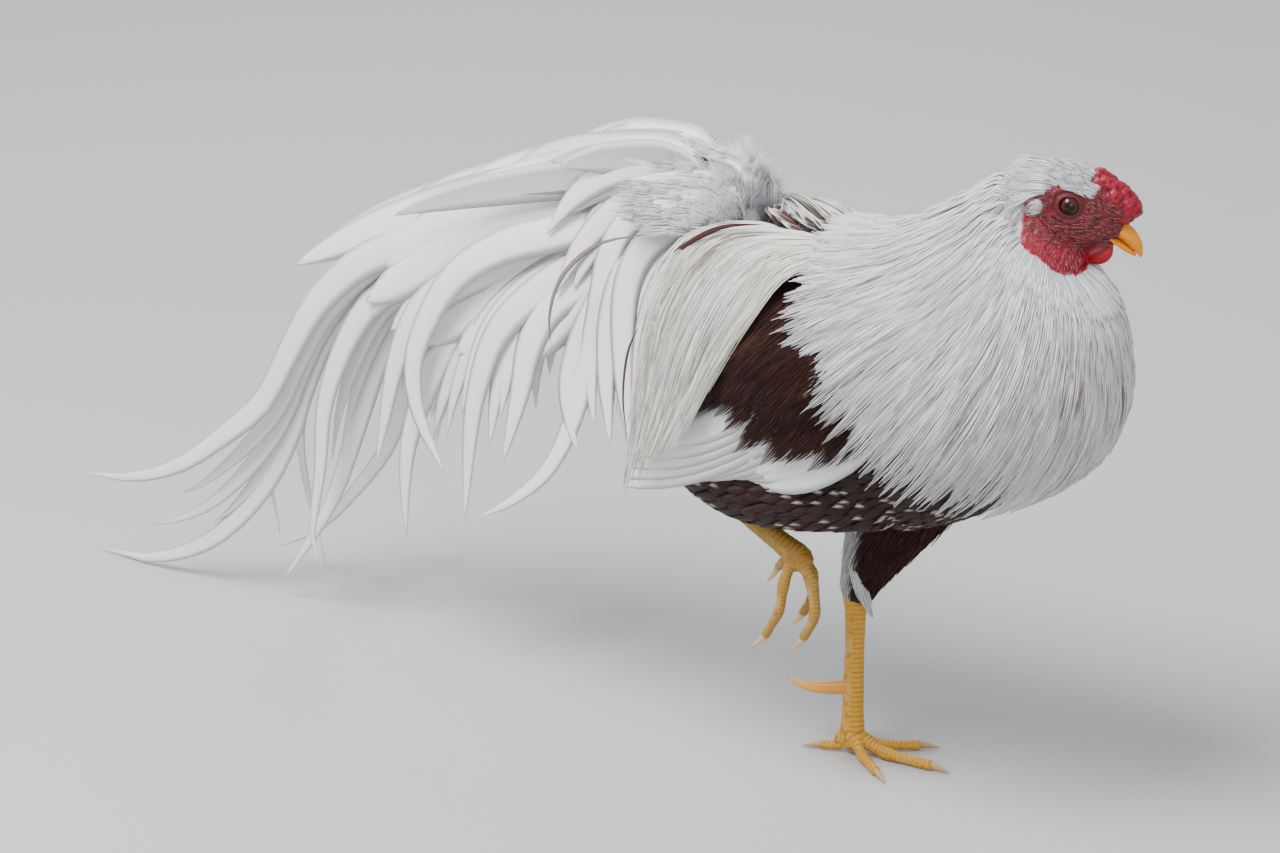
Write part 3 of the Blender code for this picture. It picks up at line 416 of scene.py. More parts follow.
# %% Body flesh
COAT, THIGH_COAT, BODY_VOXEL = 0.006, 0.0035, 0.003
TORSO = [
    (-0.126, 0.318, 0.018, 0.020), (-0.100, 0.288, 0.042, 0.060), (-0.064, 0.271, 0.058, 0.082),
    (-0.019, 0.263, 0.070, 0.088), (0.031, 0.261, 0.075, 0.088), (0.081, 0.266, 0.074, 0.082),
    (0.121, 0.275, 0.066, 0.068), (0.150, 0.284, 0.050, 0.046), (0.166, 0.290, 0.030, 0.026)]
THIGH_LEFT = [
    (0.056, 0.016, 0.222, 0.026, 0.036), (0.034, 0.012, 0.184, 0.025, 0.032), (0.015, 0.006, 0.150, 0.020, 0.025),
    (0.005, 0.002, 0.124, 0.014, 0.0158), (0.001, 0.0, 0.108, 0.0098, 0.0108)]
THIGH_RIGHT = [
    (0.050, -0.058, 0.224, 0.024, 0.038), (0.002, -0.067, 0.209, 0.021, 0.031), (-0.038, -0.068, 0.201, 0.018, 0.026),
    (-0.070, -0.065, 0.199, 0.0130, 0.0180), (-0.090, -0.062, 0.200, 0.0085, 0.0100)]
flesh = bmesh.new()
bridge(flesh, [ring(flesh, Vector((x, BODY_Y, z)), Y, Z, w - COAT, h - COAT, 32) for x, z, w, h in smooth(TORSO, 18)])
neck(flesh, NECK_SLIM + NECK_CORE[3:])
for rows in (THIGH_LEFT, THIGH_RIGHT):
    tube(flesh, [(x, y, z, w - THIGH_COAT, d - THIGH_COAT) for x, y, z, w, d in rows], 12, 20)
egg(flesh, Vector((-0.101, BODY_Y, 0.345)), [Vector((-0.94, 0, 0.34)), Y, Vector((0.34, 0, 0.94))],
    (0.040, 0.029, 0.036))
for side in (-1, 1):
    egg(flesh, Vector((0.026, BODY_Y + side * 0.0415, 0.286)),
        [Vector((0.992, 0, 0.12)), Y, Vector((-0.12, 0, 0.992))], (0.076, 0.0335, 0.037))
body_flesh = make_piece("body_flesh", flesh)
melt(body_flesh, BODY_VOXEL, 4)


def markings(pts):
    x, y, z = pts.T
    white = np.maximum.reduce([
        fade(z + 0.35 * x, 0.318, 0.328), fade(z - 0.35 * x, 0.335, 0.350) * fade(-x, 0.05, 0.09),
        fade(-x, 0.070, 0.092) * fade(z, 0.232, 0.256), fade(-x, 0.030, 0.040) * fade(z, 0.318, 0.324)])
    rear = (1 - fade(z, 0.165, 0.185)) * fade(y, -0.02, -0.01) * fade(0.006 + 0.25 * (z - 0.12) - x, 0.0, 0.006)
    return blend(np.tile(CHESTNUT, (len(pts), 1)), WHITE, np.maximum(white, 0.8 * rear))


paint(body_flesh.data, markings(points_of(body_flesh.data)))
print("body flesh points:", len(body_flesh.data.vertices))

# %% [markdown]
# One union joins the fine head to the coarser body inside the neck, where the cape hides the change.
# From here on this single closed skin carries everything else.

# %% One skin
join = body_flesh.modifiers.new("join", "BOOLEAN")
join.object = head_flesh
join.operation = "UNION"
join.solver = "MANIFOLD"
settle(body_flesh)
skin = body_flesh
skin.name = skin.data.name = "skin"
bpy.data.objects.remove(head_flesh, do_unlink=True)
skin_tree = BVHTree.FromPolygons([v.co.copy() for v in skin.data.vertices],
                                 [tuple(p.vertices) for p in skin.data.polygons])
shade_smooth(skin.data)
print("skin faces:", len(skin.data.polygons))

# %% [markdown]
# A feather is a thin closed strip that is swept along a bent midline. Thousands of them would be slow as
# separate objects, so each coat is one joined mesh made from arrays.
# Every strip keeps two maps: Vane runs across and along it, and OFBake holds its small patch
# at the place where it is rooted, on an unrolled copy of the body.

# %% Sweeping strips
BLADE = np.array([(-1.0, 0.0), (0.0, 1.0), (1.0, 0.0)])
VANE = np.array([(-1.0, 0.0), (-0.5, 0.5), (0.0, 0.9), (0.5, 0.5), (1.0, 0.0), (0.5, -0.5), (0.0, -0.5), (-0.5, -0.5)])
PATCH = 0.003


def strips(mid, out, half, section, thick, cup, root, tint):
    ahead = unit(np.gradient(mid, axis=1))
    side = unit(np.cross(ahead, out))
    up = np.cross(side, ahead)
    across, lift = section.T
    half = half[..., None]
    height = lift * thick + cup * half * (1 - across ** 2)
    points = mid[:, :, None] + side[:, :, None] * (half * across)[..., None] + up[:, :, None] * height[..., None]
    along = run_length(mid)
    share = (along / along[:, -1:])[..., None]
    bake = root[:, None, None] + PATCH * pack(across * 0.5, share - 0.5)
    vane = pack(across * 0.5 + 0.5, along[..., None] * 100.0)
    return dict(points=points, bake=np.clip(bake, 0.001, 0.999), vane=vane,
                tint=np.broadcast_to(tint, points.shape))


def make_coat(name, batches):
    starts, corners, sizes = 0, [], []
    for part in batches:
        count, rows, around, _ = part["points"].shape
        index = starts + np.arange(count * rows * around).reshape(count, rows, around)
        turned = np.roll(index, -1, axis=2)
        quads = np.stack([index[:, :-1], turned[:, :-1], turned[:, 1:], index[:, 1:]], axis=-1)
        corners += [quads.ravel(), index[:, 0, ::-1].ravel(), index[:, -1].ravel()]
        sizes += [np.full(quads.size // 4, 4), np.full(2 * count, around)]
        starts += index.size
    corners, sizes = np.concatenate(corners), np.concatenate(sizes)
    joined = {key: np.concatenate([part[key].reshape(-1, part[key].shape[-1]) for part in batches])
              for key in ("points", "bake", "vane", "tint")}
    mesh = bpy.data.meshes.new(name)
    mesh.vertices.add(len(joined["points"]))
    mesh.vertices.foreach_set("co", joined["points"].ravel())
    mesh.loops.add(len(corners))
    mesh.loops.foreach_set("vertex_index", corners)
    mesh.polygons.add(len(sizes))
    mesh.polygons.foreach_set("loop_start", np.concatenate([[0], np.cumsum(sizes)[:-1]]))
    mesh.update(calc_edges=True)
    shade_smooth(mesh)
    for layer, key in (("OFBake", "bake"), ("Vane", "vane")):
        mesh.uv_layers.new(name=layer).data.foreach_set("uv", joined[key][corners].ravel())
    paint(mesh, joined["tint"])
    print(name, "triangles:", int(np.sum(sizes - 2)))
    return link(name, mesh)


# %% [markdown]
# Long narrow feathers look silky because their barbs part into fine locks that meet again at the tip.
# A tress copies that: several narrow blades share one feather's midline, spread by its width
# and close at its point.

# %% Tresses
def leaf(count, open_at=0.3, fullness=1.6, root=0.45):
    t = np.linspace(0, 1, count)
    return np.minimum(1.0, root + (1 - root) * t / open_at) * np.maximum(1e-9, 1 - t ** (2 * fullness)) ** 0.9


def cut_short(rows, ends):
    count = rows.shape[1]
    place = np.linspace(0, 1, count)[None] * ends[:, None] * (count - 1)
    i = np.minimum(place.astype(int), count - 2)
    f = (place - i)[..., None]
    pick = np.arange(len(rows))[:, None]
    return mixed(rows[pick, i], rows[pick, i + 1], f)


def tress(mid, out, half, lanes, blade, thick, root, tint, rng, fray=0.10, droop=0.25):
    feathers, count = half.shape
    side = unit(np.cross(unit(np.gradient(mid, axis=1)), out))
    lane = np.linspace(-1, 1, lanes) if lanes > 1 else np.zeros(1)
    lane = lane[None] + rng.uniform(-0.5, 0.5, (feathers, lanes)) / lanes
    spread = (half[:, None] * lane[..., None])[..., None]
    t = np.linspace(0, 1, count)
    rise = rng.uniform(-0.0005, 0.0005, (feathers, lanes)) - 0.0006 * lane ** 2
    rise = rise[..., None] * np.ones(count)
    paths = mid[:, None] + side[:, None] * spread + out[:, None] * rise[..., None]
    outs = unit(out[:, None] + side[:, None] * (lane * 0.5 + rng.uniform(-0.3, 0.3, lane.shape))[..., None, None])
    ends = 1 - droop * np.abs(lane) ** 1.5 - rng.uniform(0, fray, lane.shape)
    shades = np.broadcast_to(tint[:, None], (feathers, lanes, count, 3))
    shades = shades * rng.uniform(0.93, 1.05, (feathers, lanes, 1, 1))
    flat = [a.reshape(-1, count, 3) for a in (paths, outs, shades)]
    paths, outs, shades = [cut_short(a, np.clip(ends.ravel(), 0.3, 1.0)) for a in flat]
    width = blade * (0.55 + 0.45 * np.sin(math.pi * np.minimum(1, t * 1.4 + 0.15))) * (1 - t ** 3) + 0.00012
    return strips(paths, outs, np.broadcast_to(width, paths.shape[:2]), BLADE, thick, 0.0,
                  np.repeat(root, lanes, axis=0), shades[:, :, None])


def raised(tree, points, outward, clear, reach=0.10):
    lift = np.zeros(points.shape[:-1])
    for index in np.ndindex(lift.shape):
        p, d = Vector(points[index]), Vector(outward[index])
        hit = tree.ray_cast(p + d * reach, -d, reach + 0.08)[0]
        if hit is not None:
            lift[index] = max(0.0, clear - (p - hit).dot(d))
    return points + outward * lift[..., None]


# %% [markdown]
# The cape: row upon row of tresses from the nape down. The tips of one row lie on the roots of the next,
# so each feather starts deep and comes up to the outer lie at its tip. A few carry a brown streak.

# %% Hackle
rng = np.random.default_rng(11)
HACKLE_STEPS, HACKLE_ROWS, HACKLE_GAP, HACKLE_CLEAR = 8, 17, 0.0088, 0.0085
t = np.linspace(0, 1, HACKLE_STEPS)
roots, turns, ends = [], [], []
for row, place in enumerate(np.linspace(0.05, 4.3, HACKLE_ROWS)):
    middle = row_at(CAPE, place + 1.6)
    around = math.pi * (middle[5] + math.hypot(middle[2] - middle[0], middle[3] - middle[1]) / 2)
    count = int(around / HACKLE_GAP)
    turn = (np.arange(count) + 0.5 * (row % 2)) / count * 2 * math.pi
    turn = turn + rng.uniform(-0.3, 0.3, count) * HACKLE_GAP / 0.09
    roots.append(place + rng.uniform(-0.12, 0.12, count))
    turns.append(turn)
    ends.append(np.minimum(place + 1.3 + 1.55 * min(1, place / 2.6) + rng.uniform(-0.3, 0.12, count), CAPE_END))
root, turn, end = (np.concatenate(a) for a in (roots, turns, ends))
root = np.maximum(root, 0.85 * fade(np.cos(turn), -0.60, 0.10) + 0.25 * fade(np.cos(turn), 0.4, 0.9))
end = np.maximum(root + 0.9, np.minimum(end, CAPE_END - 1.9 * fade(-np.cos(turn), 0.55, 0.95)))
places = root[:, None] + (end - root)[:, None] * t
mid, out, _ = cape_point(np.clip(places, 0, CAPE_END), np.broadcast_to(turn[:, None], places.shape))
depth = 0.0042 * (1 - t) + 0.016 * np.maximum(0, 1 - t / 0.22) ** 2
mid = mid - out * (depth + rng.uniform(0, 0.0012, len(root))[:, None])[..., None]
mid[:, 2:] = raised(skin_tree, mid[:, 2:], out[:, 2:], HACKLE_CLEAR)
f, s, u = np.moveaxis(head_place(mid[:, 1:3]), -1, 0)
u = u - 0.41 * np.maximum(np.abs(s) - 14, 0)
clear = ~((f > -27) & (u > np.interp(f, *FACE_EDGE))).any(axis=1)
mid, out, root, turn = mid[clear], out[clear], root[clear], turn[clear]
half = leaf(HACKLE_STEPS, 0.35, 1.3) * (0.0048 + 0.0014 * np.clip(root, 0, 3) / 3)[:, None]
shade = WHITE * (0.90 + 0.10 * t)[None, :, None] * rng.uniform(0.94, 1.03, (len(root), 1, 1))
streak = rng.random(len(root)) < 0.026
shade = mixed(shade, TAN, (streak[:, None] * hump(t, 0.66, 0.28))[..., None] * 0.92)
bake_root = pack((turn % (2 * math.pi)) / (2 * math.pi), root / CAPE_END)
half = np.where(streak[:, None], half * 0.45, half)
hackles = []
for word, own in (("right", np.sin(turn) < 0), ("left", np.sin(turn) >= 0)):
    hackles.append(make_coat("hackle_" + word, [tress(mid[own], out[own], half[own], 7, 0.00095, 0.0005,
                                                      bake_root[own], shade[own], rng)]))

# %% [markdown]
# Body feathers lie flat, so their midlines creep over the skin: a step along the lie, back down to the skin,
# and up again by the height that the layer needs. The next helper does this for any patch of roots.

# %% Creeping along the skin
def creep(tree, starts, headings, lengths, heights):
    count = len(heights)
    mid, out = np.empty((len(starts), count, 3)), np.empty((len(starts), count, 3))
    for k, (start, heading, length) in enumerate(zip(starts, headings, lengths)):
        p, d = Vector(start), Vector(heading)
        for j in range(count):
            spot, normal, _, _ = tree.find_nearest(p)
            d = (d - normal * d.dot(normal)).normalized()
            mid[k, j] = spot + normal * heights[j]
            out[k, j] = normal
            p = spot + d * (length / (count - 1))
    return mid, out


UNROLL_FROM, UNROLL_LENGTH, UNROLL_Z = -0.65, 0.9, 0.27
AXIS_Z, BODY_R = 0.272, 0.075


def barrel(points):
    x, y, z = points.T
    return pack(0.5 + np.arctan2(y - BODY_Y, z - UNROLL_Z) / (2 * math.pi), (x - UNROLL_FROM) / UNROLL_LENGTH)


def around_body(tree, xs, spacing, keep):
    spots = []
    for row, x in enumerate(xs):
        centre = Vector((x, BODY_Y, AXIS_Z))
        count = int(2 * math.pi * BODY_R / spacing)
        for k in range(count):
            a = 2 * math.pi * (k + 0.5 * (row % 2)) / count
            hit = tree.ray_cast(centre, Vector((0, math.sin(a), math.cos(a))))[0]
            if hit is not None and keep(hit):
                spots.append(hit)
    return np.array(spots)


# %% [markdown]
# Small feathers cover the crown, the nape and the throat and close up to the edge of the red face.
# On the cheek they are only pale bristles, and a tuft of tiny white ones sits on the ear.
# Their roots are picked from the worked head skin itself, thinned out to an even spacing.

# %% Crown, nape, throat and face bristles
rng = np.random.default_rng(7)
NECK_DOWN = np.array((-0.30, -0.17, -0.94))


def thinned(points, spacing):
    cells = np.floor((points + rng.uniform(-0.25, 0.25, points.shape) * spacing) / spacing)
    return points[np.unique(cells, axis=0, return_index=True)[1]]


def head_heading(points):
    f, s, u = head_place(points).T
    down = np.maximum(fade(-f, 8, 32), fade(-u, 14, 30))[:, None]
    loose = rng.uniform(-0.12, 0.12, points.shape) - np.array(FWD)
    return unit(mixed(loose, NECK_DOWN, down)), down[:, 0]


def small_feathers(points, length, heights, half, lanes, blade, tint):
    heading, down = head_heading(points)
    mid, out = creep(skin_tree, points, heading, length[0] + length[1] * down, heights)
    spot = pack(0.5 + 0.4 * head_place(points)[:, 1] / 20, 0.9)
    width = np.broadcast_to(half * (1 + down[:, None]), mid.shape[:2])
    return tress(mid, out, width, lanes, blade, 0.0002, spot, tint + 0 * mid, rng, 0.2, 0.3)


t = np.linspace(0, 1, 5)
f, s, u = head_place(head_points).T
covered = (rng.random(len(bare)) < fade(1 - bare, 0.1, 0.7)) & (f + 0.35 * u > -46) & ((u > -8) | (f < -27))
plain = thinned(head_points[covered & (f > -17)], 0.0025)
f, s, u = head_place(plain).T
speck = rng.random(len(plain)) < 0.50 * fade(u, 3, 7) * (1 - fade(np.abs(f + 4), 10, 17))
plumes = mixed(WHITE, (0.13, 0.075, 0.06), 0.85 * speck[:, None, None] * fade(t, 0.3, 0.9)[:, None])
crown = small_feathers(plain, (0.0082, 0.0060), 0.0003 + 0.0021 * t, 0.0012, 3, 0.00042, plumes)
f = head_place(head_points)[:, 0]
back_of_head = thinned(head_points[covered & (f <= -15)], 0.0034)
nape = small_feathers(back_of_head, (0.0180, 0.0120), 0.0003 + 0.0078 * t, 0.0014, 5, 0.00060, WHITE)
cheeks = thinned(head_points[(cheek > 0.55) & (eye_r > 11) & (low_front < 0.5) & (above_edge > 8)], 0.0024)
bristles = small_feathers(cheeks, (0.0029, 0.0), 0.0001 + 0.0005 * t, 0.0002, 1, 0.00006,
                          np.array((0.36, 0.17, 0.15)))
tufts = thinned(head_points[on_ear * on_side_face > 0.35], 0.0013)
ears = small_feathers(tufts, (0.0042, 0.0), 0.0002 + 0.0010 * t, 0.0006, 2, 0.00024, WHITE * 0.95)
head_coat = make_coat("head_coat", [crown, nape, bristles, ears])

# %% [markdown]
# Breast, belly and flank: short round chestnut feathers, many with a small white leaf near the tip.
# They are broad vanes with eight points round, so that each edge catches the light.

# %% Breast, belly and flank
rng = np.random.default_rng(5)
VANE_STEPS = 7
BREAST_X, BREAST_ROW, BREAST_GAP = 0.168, 0.0062, 0.0066
t = np.linspace(0, 1, VANE_STEPS)


def each_point(colour, feathers, low, high):
    return np.tile(colour, (feathers, VANE_STEPS, len(VANE), 1)) * rng.uniform(low, high, (feathers, 1, 1, 1))


starts = around_body(skin_tree, np.arange(BREAST_X, -0.121, -BREAST_ROW), BREAST_GAP,
                     lambda p: 0.168 < p.z < 0.247 + 0.45 * max(0.0, -p.x))
starts = starts + rng.uniform(-0.0015, 0.0015, starts.shape)
heading = unit(pack(-1.0, rng.uniform(-0.12, 0.12, len(starts)), -0.25 - 2.0 * fade(starts[:, 0], 0.10, 0.16)))
mid, out = creep(skin_tree, starts, heading, rng.uniform(0.023, 0.030, len(starts)),
                 0.0008 + 0.0042 * np.sqrt(t))
half = leaf(VANE_STEPS, 0.4, 1.9, 0.4) * rng.uniform(0.0040, 0.0052, (len(starts), 1))
tint = each_point(CHESTNUT, len(starts), 0.28, 0.75)
rear = (fade(-starts[:, 0], 0.070, 0.092) * fade(starts[:, 2], 0.232, 0.256))[:, None, None, None]
tint = mixed(tint, WHITE * 0.95, rear)
spangled = ((rng.random(len(starts)) < 0.30) & (starts[:, 2] < 0.225))[:, None, None]
spot = hump(t[None, :, None], 0.857, 0.085) * hump(VANE[:, 0], 0, 0.36) * spangled
tint = mixed(tint, (0.66, 0.60, 0.53), spot[..., None])
body_batches = [strips(mid, out, half, VANE, 0.0003, 0.05, barrel(starts), tint)]

# %% [markdown]
# Between cape and tail a few red-brown feathers with white lace show on the back.
# The thighs wear short narrow feathers that run down to the hock: pale behind, chestnut in front,
# with one white tuft that hangs over the front of the standing hock.

# %% Back and thigh feathers
starts = np.array([(x, BODY_Y + y, 0.345) for x in np.arange(0.004, -0.060, -0.0095) for y in (-0.004, 0.004)])
starts = starts + rng.uniform(-0.0045, 0.0045, starts.shape)
heading = unit(np.array((-1.0, 0, 0.05)) + rng.uniform(-0.25, 0.25, starts.shape))
mid, out = creep(skin_tree, starts, heading, rng.uniform(0.018, 0.026, len(starts)), 0.010 + 0.0100 * t)
half = leaf(VANE_STEPS, 0.4, 1.8, 0.4) * rng.uniform(0.0036, 0.0048, (len(starts), 1))
edge, tip = fade(np.abs(VANE[:, 0]), 0.45, 0.9) * fade(t, 0.25, 0.6)[:, None], fade(t, 0.70, 0.9)[:, None]
tint = mixed(each_point((0.080, 0.021, 0.014), len(starts), 0.7, 1.2), WHITE, np.maximum(edge, tip)[None, ..., None])
body_batches.append(strips(mid, out, half, VANE, 0.0004, 0.12, barrel(starts), tint))
body_coat = make_coat("body_coat", body_batches)


def around_limb(tree, rows, places, spacing):
    spots, ways = [], []
    for k, place in enumerate(places):
        here, ahead = row_at(rows, place), row_at(rows, min(place + 0.2, len(rows) - 1)) - row_at(rows, place - 0.2)
        ahead = Vector(ahead[:3]).normalized()
        side = (Y - ahead * Y.dot(ahead)).normalized()
        count = max(6, int(math.pi * (here[3] + here[4]) / spacing))
        for j in range(count):
            a = 2 * math.pi * (j + 0.5 * (k % 2)) / count
            hit = tree.ray_cast(Vector(here[:3]), side * math.cos(a) + ahead.cross(side) * math.sin(a))[0]
            if hit is not None and (hit - Vector(here[:3])).length < 0.045:
                spots.append(hit)
                ways.append(ahead)
    return np.array(spots), np.array(ways)


batches = []
t = np.linspace(0, 1, 6)
for rows, first in ((THIGH_LEFT, 0.7), (THIGH_RIGHT, 0.9)):
    starts, heading = around_limb(skin_tree, rows, np.linspace(first, 3.72, 21), 0.0052)
    heading = unit(heading + rng.uniform(-0.10, 0.10, heading.shape))
    mid, out = creep(skin_tree, starts, heading, rng.uniform(0.015, 0.021, len(starts)), 0.0006 + 0.0030 * np.sqrt(t))
    mid[..., 2] = np.maximum(mid[..., 2], 0.094)
    half = leaf(6, 0.4, 1.5, 0.4) * rng.uniform(0.0026, 0.0034, (len(starts), 1))
    tint = markings(starts)[:, None] * rng.uniform(0.75, 1.15, (len(starts), 1, 1)) + 0 * mid
    batches.append(tress(mid, out, half, 4, 0.00085, 0.0004, barrel(starts), tint, rng, 0.15, 0.3))
tuft = np.array([[(0.004 + 0.0015 * a, -0.008 + 0.0015 * b, 0.136), (0.010 + 0.001 * a, -0.011 + 0.0012 * b, 0.122),
                  (0.015 + 0.0006 * a, -0.009 + 0.001 * b, 0.108), (0.0185, -0.006, 0.098 - 0.001 * a)]
                 for a in (-1, 0, 1) for b in (-1, 0, 1, 2)])
mid = np.stack([smooth(line, 6) for line in tuft])
out = np.broadcast_to(unit((0.7, -0.7, 0.2)), mid.shape)
batches.append(tress(mid, out, np.broadcast_to(leaf(6, 0.4, 1.4) * 0.0026, mid.shape[:2]), 5, 0.0007, 0.0004,
                     barrel(mid[:, 0]), WHITE * 0.9 + 0 * mid, rng, 0.2, 0.3))
thigh_coat = make_coat("thigh_coat", batches)

# %% [markdown]
# The folded wing shows two kinds of feather: dark pointed coverts that sweep down and back,
# and under them the broad white flight feathers with their rounded lower edges.
# Flight feathers are given by the side view of root and tip; a ray from the side finds the flank for the coverts.

# %% Wing measures
FLIGHT = [((0.064, 0.258), (-0.024, 0.211)), ((0.054, 0.260), (-0.042, 0.214)), ((0.044, 0.262), (-0.064, 0.211)),
          ((0.038, 0.266), (-0.086, 0.203)), ((0.032, 0.270), (-0.106, 0.195)), ((0.026, 0.274), (-0.121, 0.186)),
          ((0.021, 0.277), (-0.120, 0.193)), ((0.016, 0.280), (-0.115, 0.201)), ((0.010, 0.283), (-0.107, 0.211)),
          ((0.004, 0.286), (-0.097, 0.223))]
FLIGHT_OUT = (-0.12, -0.02, 0.02, 0.06), (0.0640, 0.0650, 0.0705, 0.0745)
FLIGHT_STEPS = 12
COVERT_EDGE = (-0.074, -0.050, -0.030, 0.0, 0.030, 0.050, 0.070), (0.258, 0.241, 0.232, 0.228, 0.233, 0.246, 0.262)
COVERT_STEPS, COVERT_ROWS, COVERT_COLUMNS = 7, 9, 15
COVERT_TOP, COVERT_FORWARD, COVERT_UP = 0.344, 0.64, 0.77


def on_side(tree, x, z, side, height, last=BODY_Y):
    hit, normal, _, _ = tree.ray_cast(Vector((x, side * 0.4, z)), Vector((0, -side, 0)))
    if hit is None:
        return np.array((x, last, z)), np.array((0.0, side, 0.0))
    return np.array(hit + Y * side * height), np.array(normal)


def flank(tree, lines, side, heights):
    mid, out = [], []
    for line in lines:
        last = BODY_Y
        for (x, z), height in zip(line, heights):
            p, n = on_side(tree, x, z, side, height, last)
            last = p[1]
            mid.append(p)
            out.append(n)
    shape = (len(lines), len(heights), 3)
    return np.array(mid).reshape(shape), np.array(out).reshape(shape)


print("flight feathers on a side:", len(FLIGHT))

# %% [markdown]
# Each wing is one coat: a fan of flight feathers, then rows of coverts that lie over them like tiles.
# A covert never sinks below the fan, and it comes closer to the body towards the back.

# %% Both wings
wings = []
for side, word in ((-1, "right"), (1, "left")):
    rng = np.random.default_rng(21 + side)
    t = np.linspace(0, 1, FLIGHT_STEPS)
    x0, z0, x1, z1 = np.array(FLIGHT).reshape(-1, 4, 1).transpose(1, 0, 2)
    x = x0 + (x1 - x0) * t
    out_by = np.interp(x, *FLIGHT_OUT) + 0.00035 * np.arange(len(FLIGHT))[:, None]
    mid = pack(x, BODY_Y + side * out_by, z0 + (z1 - z0) * t - 0.009 * np.sin(math.pi * t))
    out = np.broadcast_to(unit((0.0, side, 0.10)), mid.shape)
    half = np.broadcast_to(leaf(FLIGHT_STEPS, 0.15, 2.3, 0.8) * 0.0112, mid.shape[:2])
    # Painted shade: each flight feather is painted up to 16 percent darker towards the edge that lies under its
    # neighbour.
    shaded_side = fade(VANE[:, 0] * (1 if side < 0 else -1), -1.0, 1.0)
    tint = WHITE * (1 - 0.16 * shaded_side)[None, None, :, None] * np.ones((*mid.shape[:2], 1, 1))
    batches = [strips(mid, out, half, VANE, 0.0006, 0.06, barrel(mid[:, 0]), tint)]
    t = np.linspace(0, 1, COVERT_STEPS)
    lines = []
    for row in range(COVERT_ROWS):
        for k in range(COVERT_COLUMNS):
            x = -0.072 + 0.0098 * k + rng.uniform(-0.002, 0.002) + 0.0045 * (row % 2)
            z = np.interp(x, *COVERT_EDGE) + 0.0115 * row + rng.uniform(-0.004, 0.004) * (1 if row else 1.6)
            long = rng.uniform(0.036, 0.048)
            if z + COVERT_UP * long > COVERT_TOP:
                continue
            lines.append(list(zip(x + COVERT_FORWARD * long * (1 - t) + 0.003 * np.sin(math.pi * t),
                                  z + COVERT_UP * long * (1 - t))))
    mid, out = flank(skin_tree, lines, side, 0.0134 + 0.0030 * t)
    over = np.interp(mid[..., 0], *FLIGHT_OUT) + 0.0065 - 0.5 * np.maximum(0, mid[..., 2] - 0.252)
    mid[..., 1] = BODY_Y + side * np.maximum((mid[..., 1] - BODY_Y) * side, over)
    half = leaf(COVERT_STEPS, 0.35, 1.6) * rng.uniform(0.0056, 0.0070, (len(lines), 1))
    tint = np.tile(CHESTNUT, (len(lines), COVERT_STEPS, 1)) * rng.uniform(0.6, 1.2, (len(lines), 1, 1))
    rusty = (rng.random((len(lines), 1, 1)) < 0.16) * fade(-mid[:, :1, :1], 0.0, 0.04) * t[None, :, None]
    tint = mixed(tint, (0.20, 0.058, 0.028), rusty)
    batches.append(tress(mid, out, half, 8, 0.00115, 0.0004, barrel(mid[:, 0]), tint, rng, 0.08, 0.30))
    wings.append(make_coat("wing_coat_" + word, batches))

# %% [markdown]
# Saddle hackles grow beside the spine and hang over the flank. Each follows one curve from root to tip in
# side view and is pushed out until it clears the wing.

# %% Saddles
SADDLE = [
    [(0.034, 0.357), (-0.008, 0.346), (-0.027, 0.313), (-0.050, 0.269), (-0.061, 0.241), (-0.073, 0.217)],
    [(0.027, 0.360), (-0.037, 0.350), (-0.060, 0.310), (-0.074, 0.257), (-0.084, 0.224), (-0.090, 0.203)],
    [(0.000, 0.361), (-0.059, 0.353), (-0.081, 0.312), (-0.089, 0.261), (-0.095, 0.221), (-0.100, 0.195)],
    [(-0.040, 0.361), (-0.081, 0.352), (-0.097, 0.315), (-0.101, 0.265), (-0.106, 0.225), (-0.113, 0.184)],
    [(-0.074, 0.358), (-0.100, 0.345), (-0.118, 0.312), (-0.124, 0.266), (-0.127, 0.232), (-0.130, 0.200)]]
SADDLE_OUT = [0.016, 0.046, 0.068, 0.078, 0.082, 0.084]
SADDLE_STEPS, SADDLE_LAYERS, STRANDS, VIEW_POINTS = 12, 6, 30, 40
outward = smooth([(w,) for w in SADDLE_OUT], VIEW_POINTS)[:, 0]
saddles = []
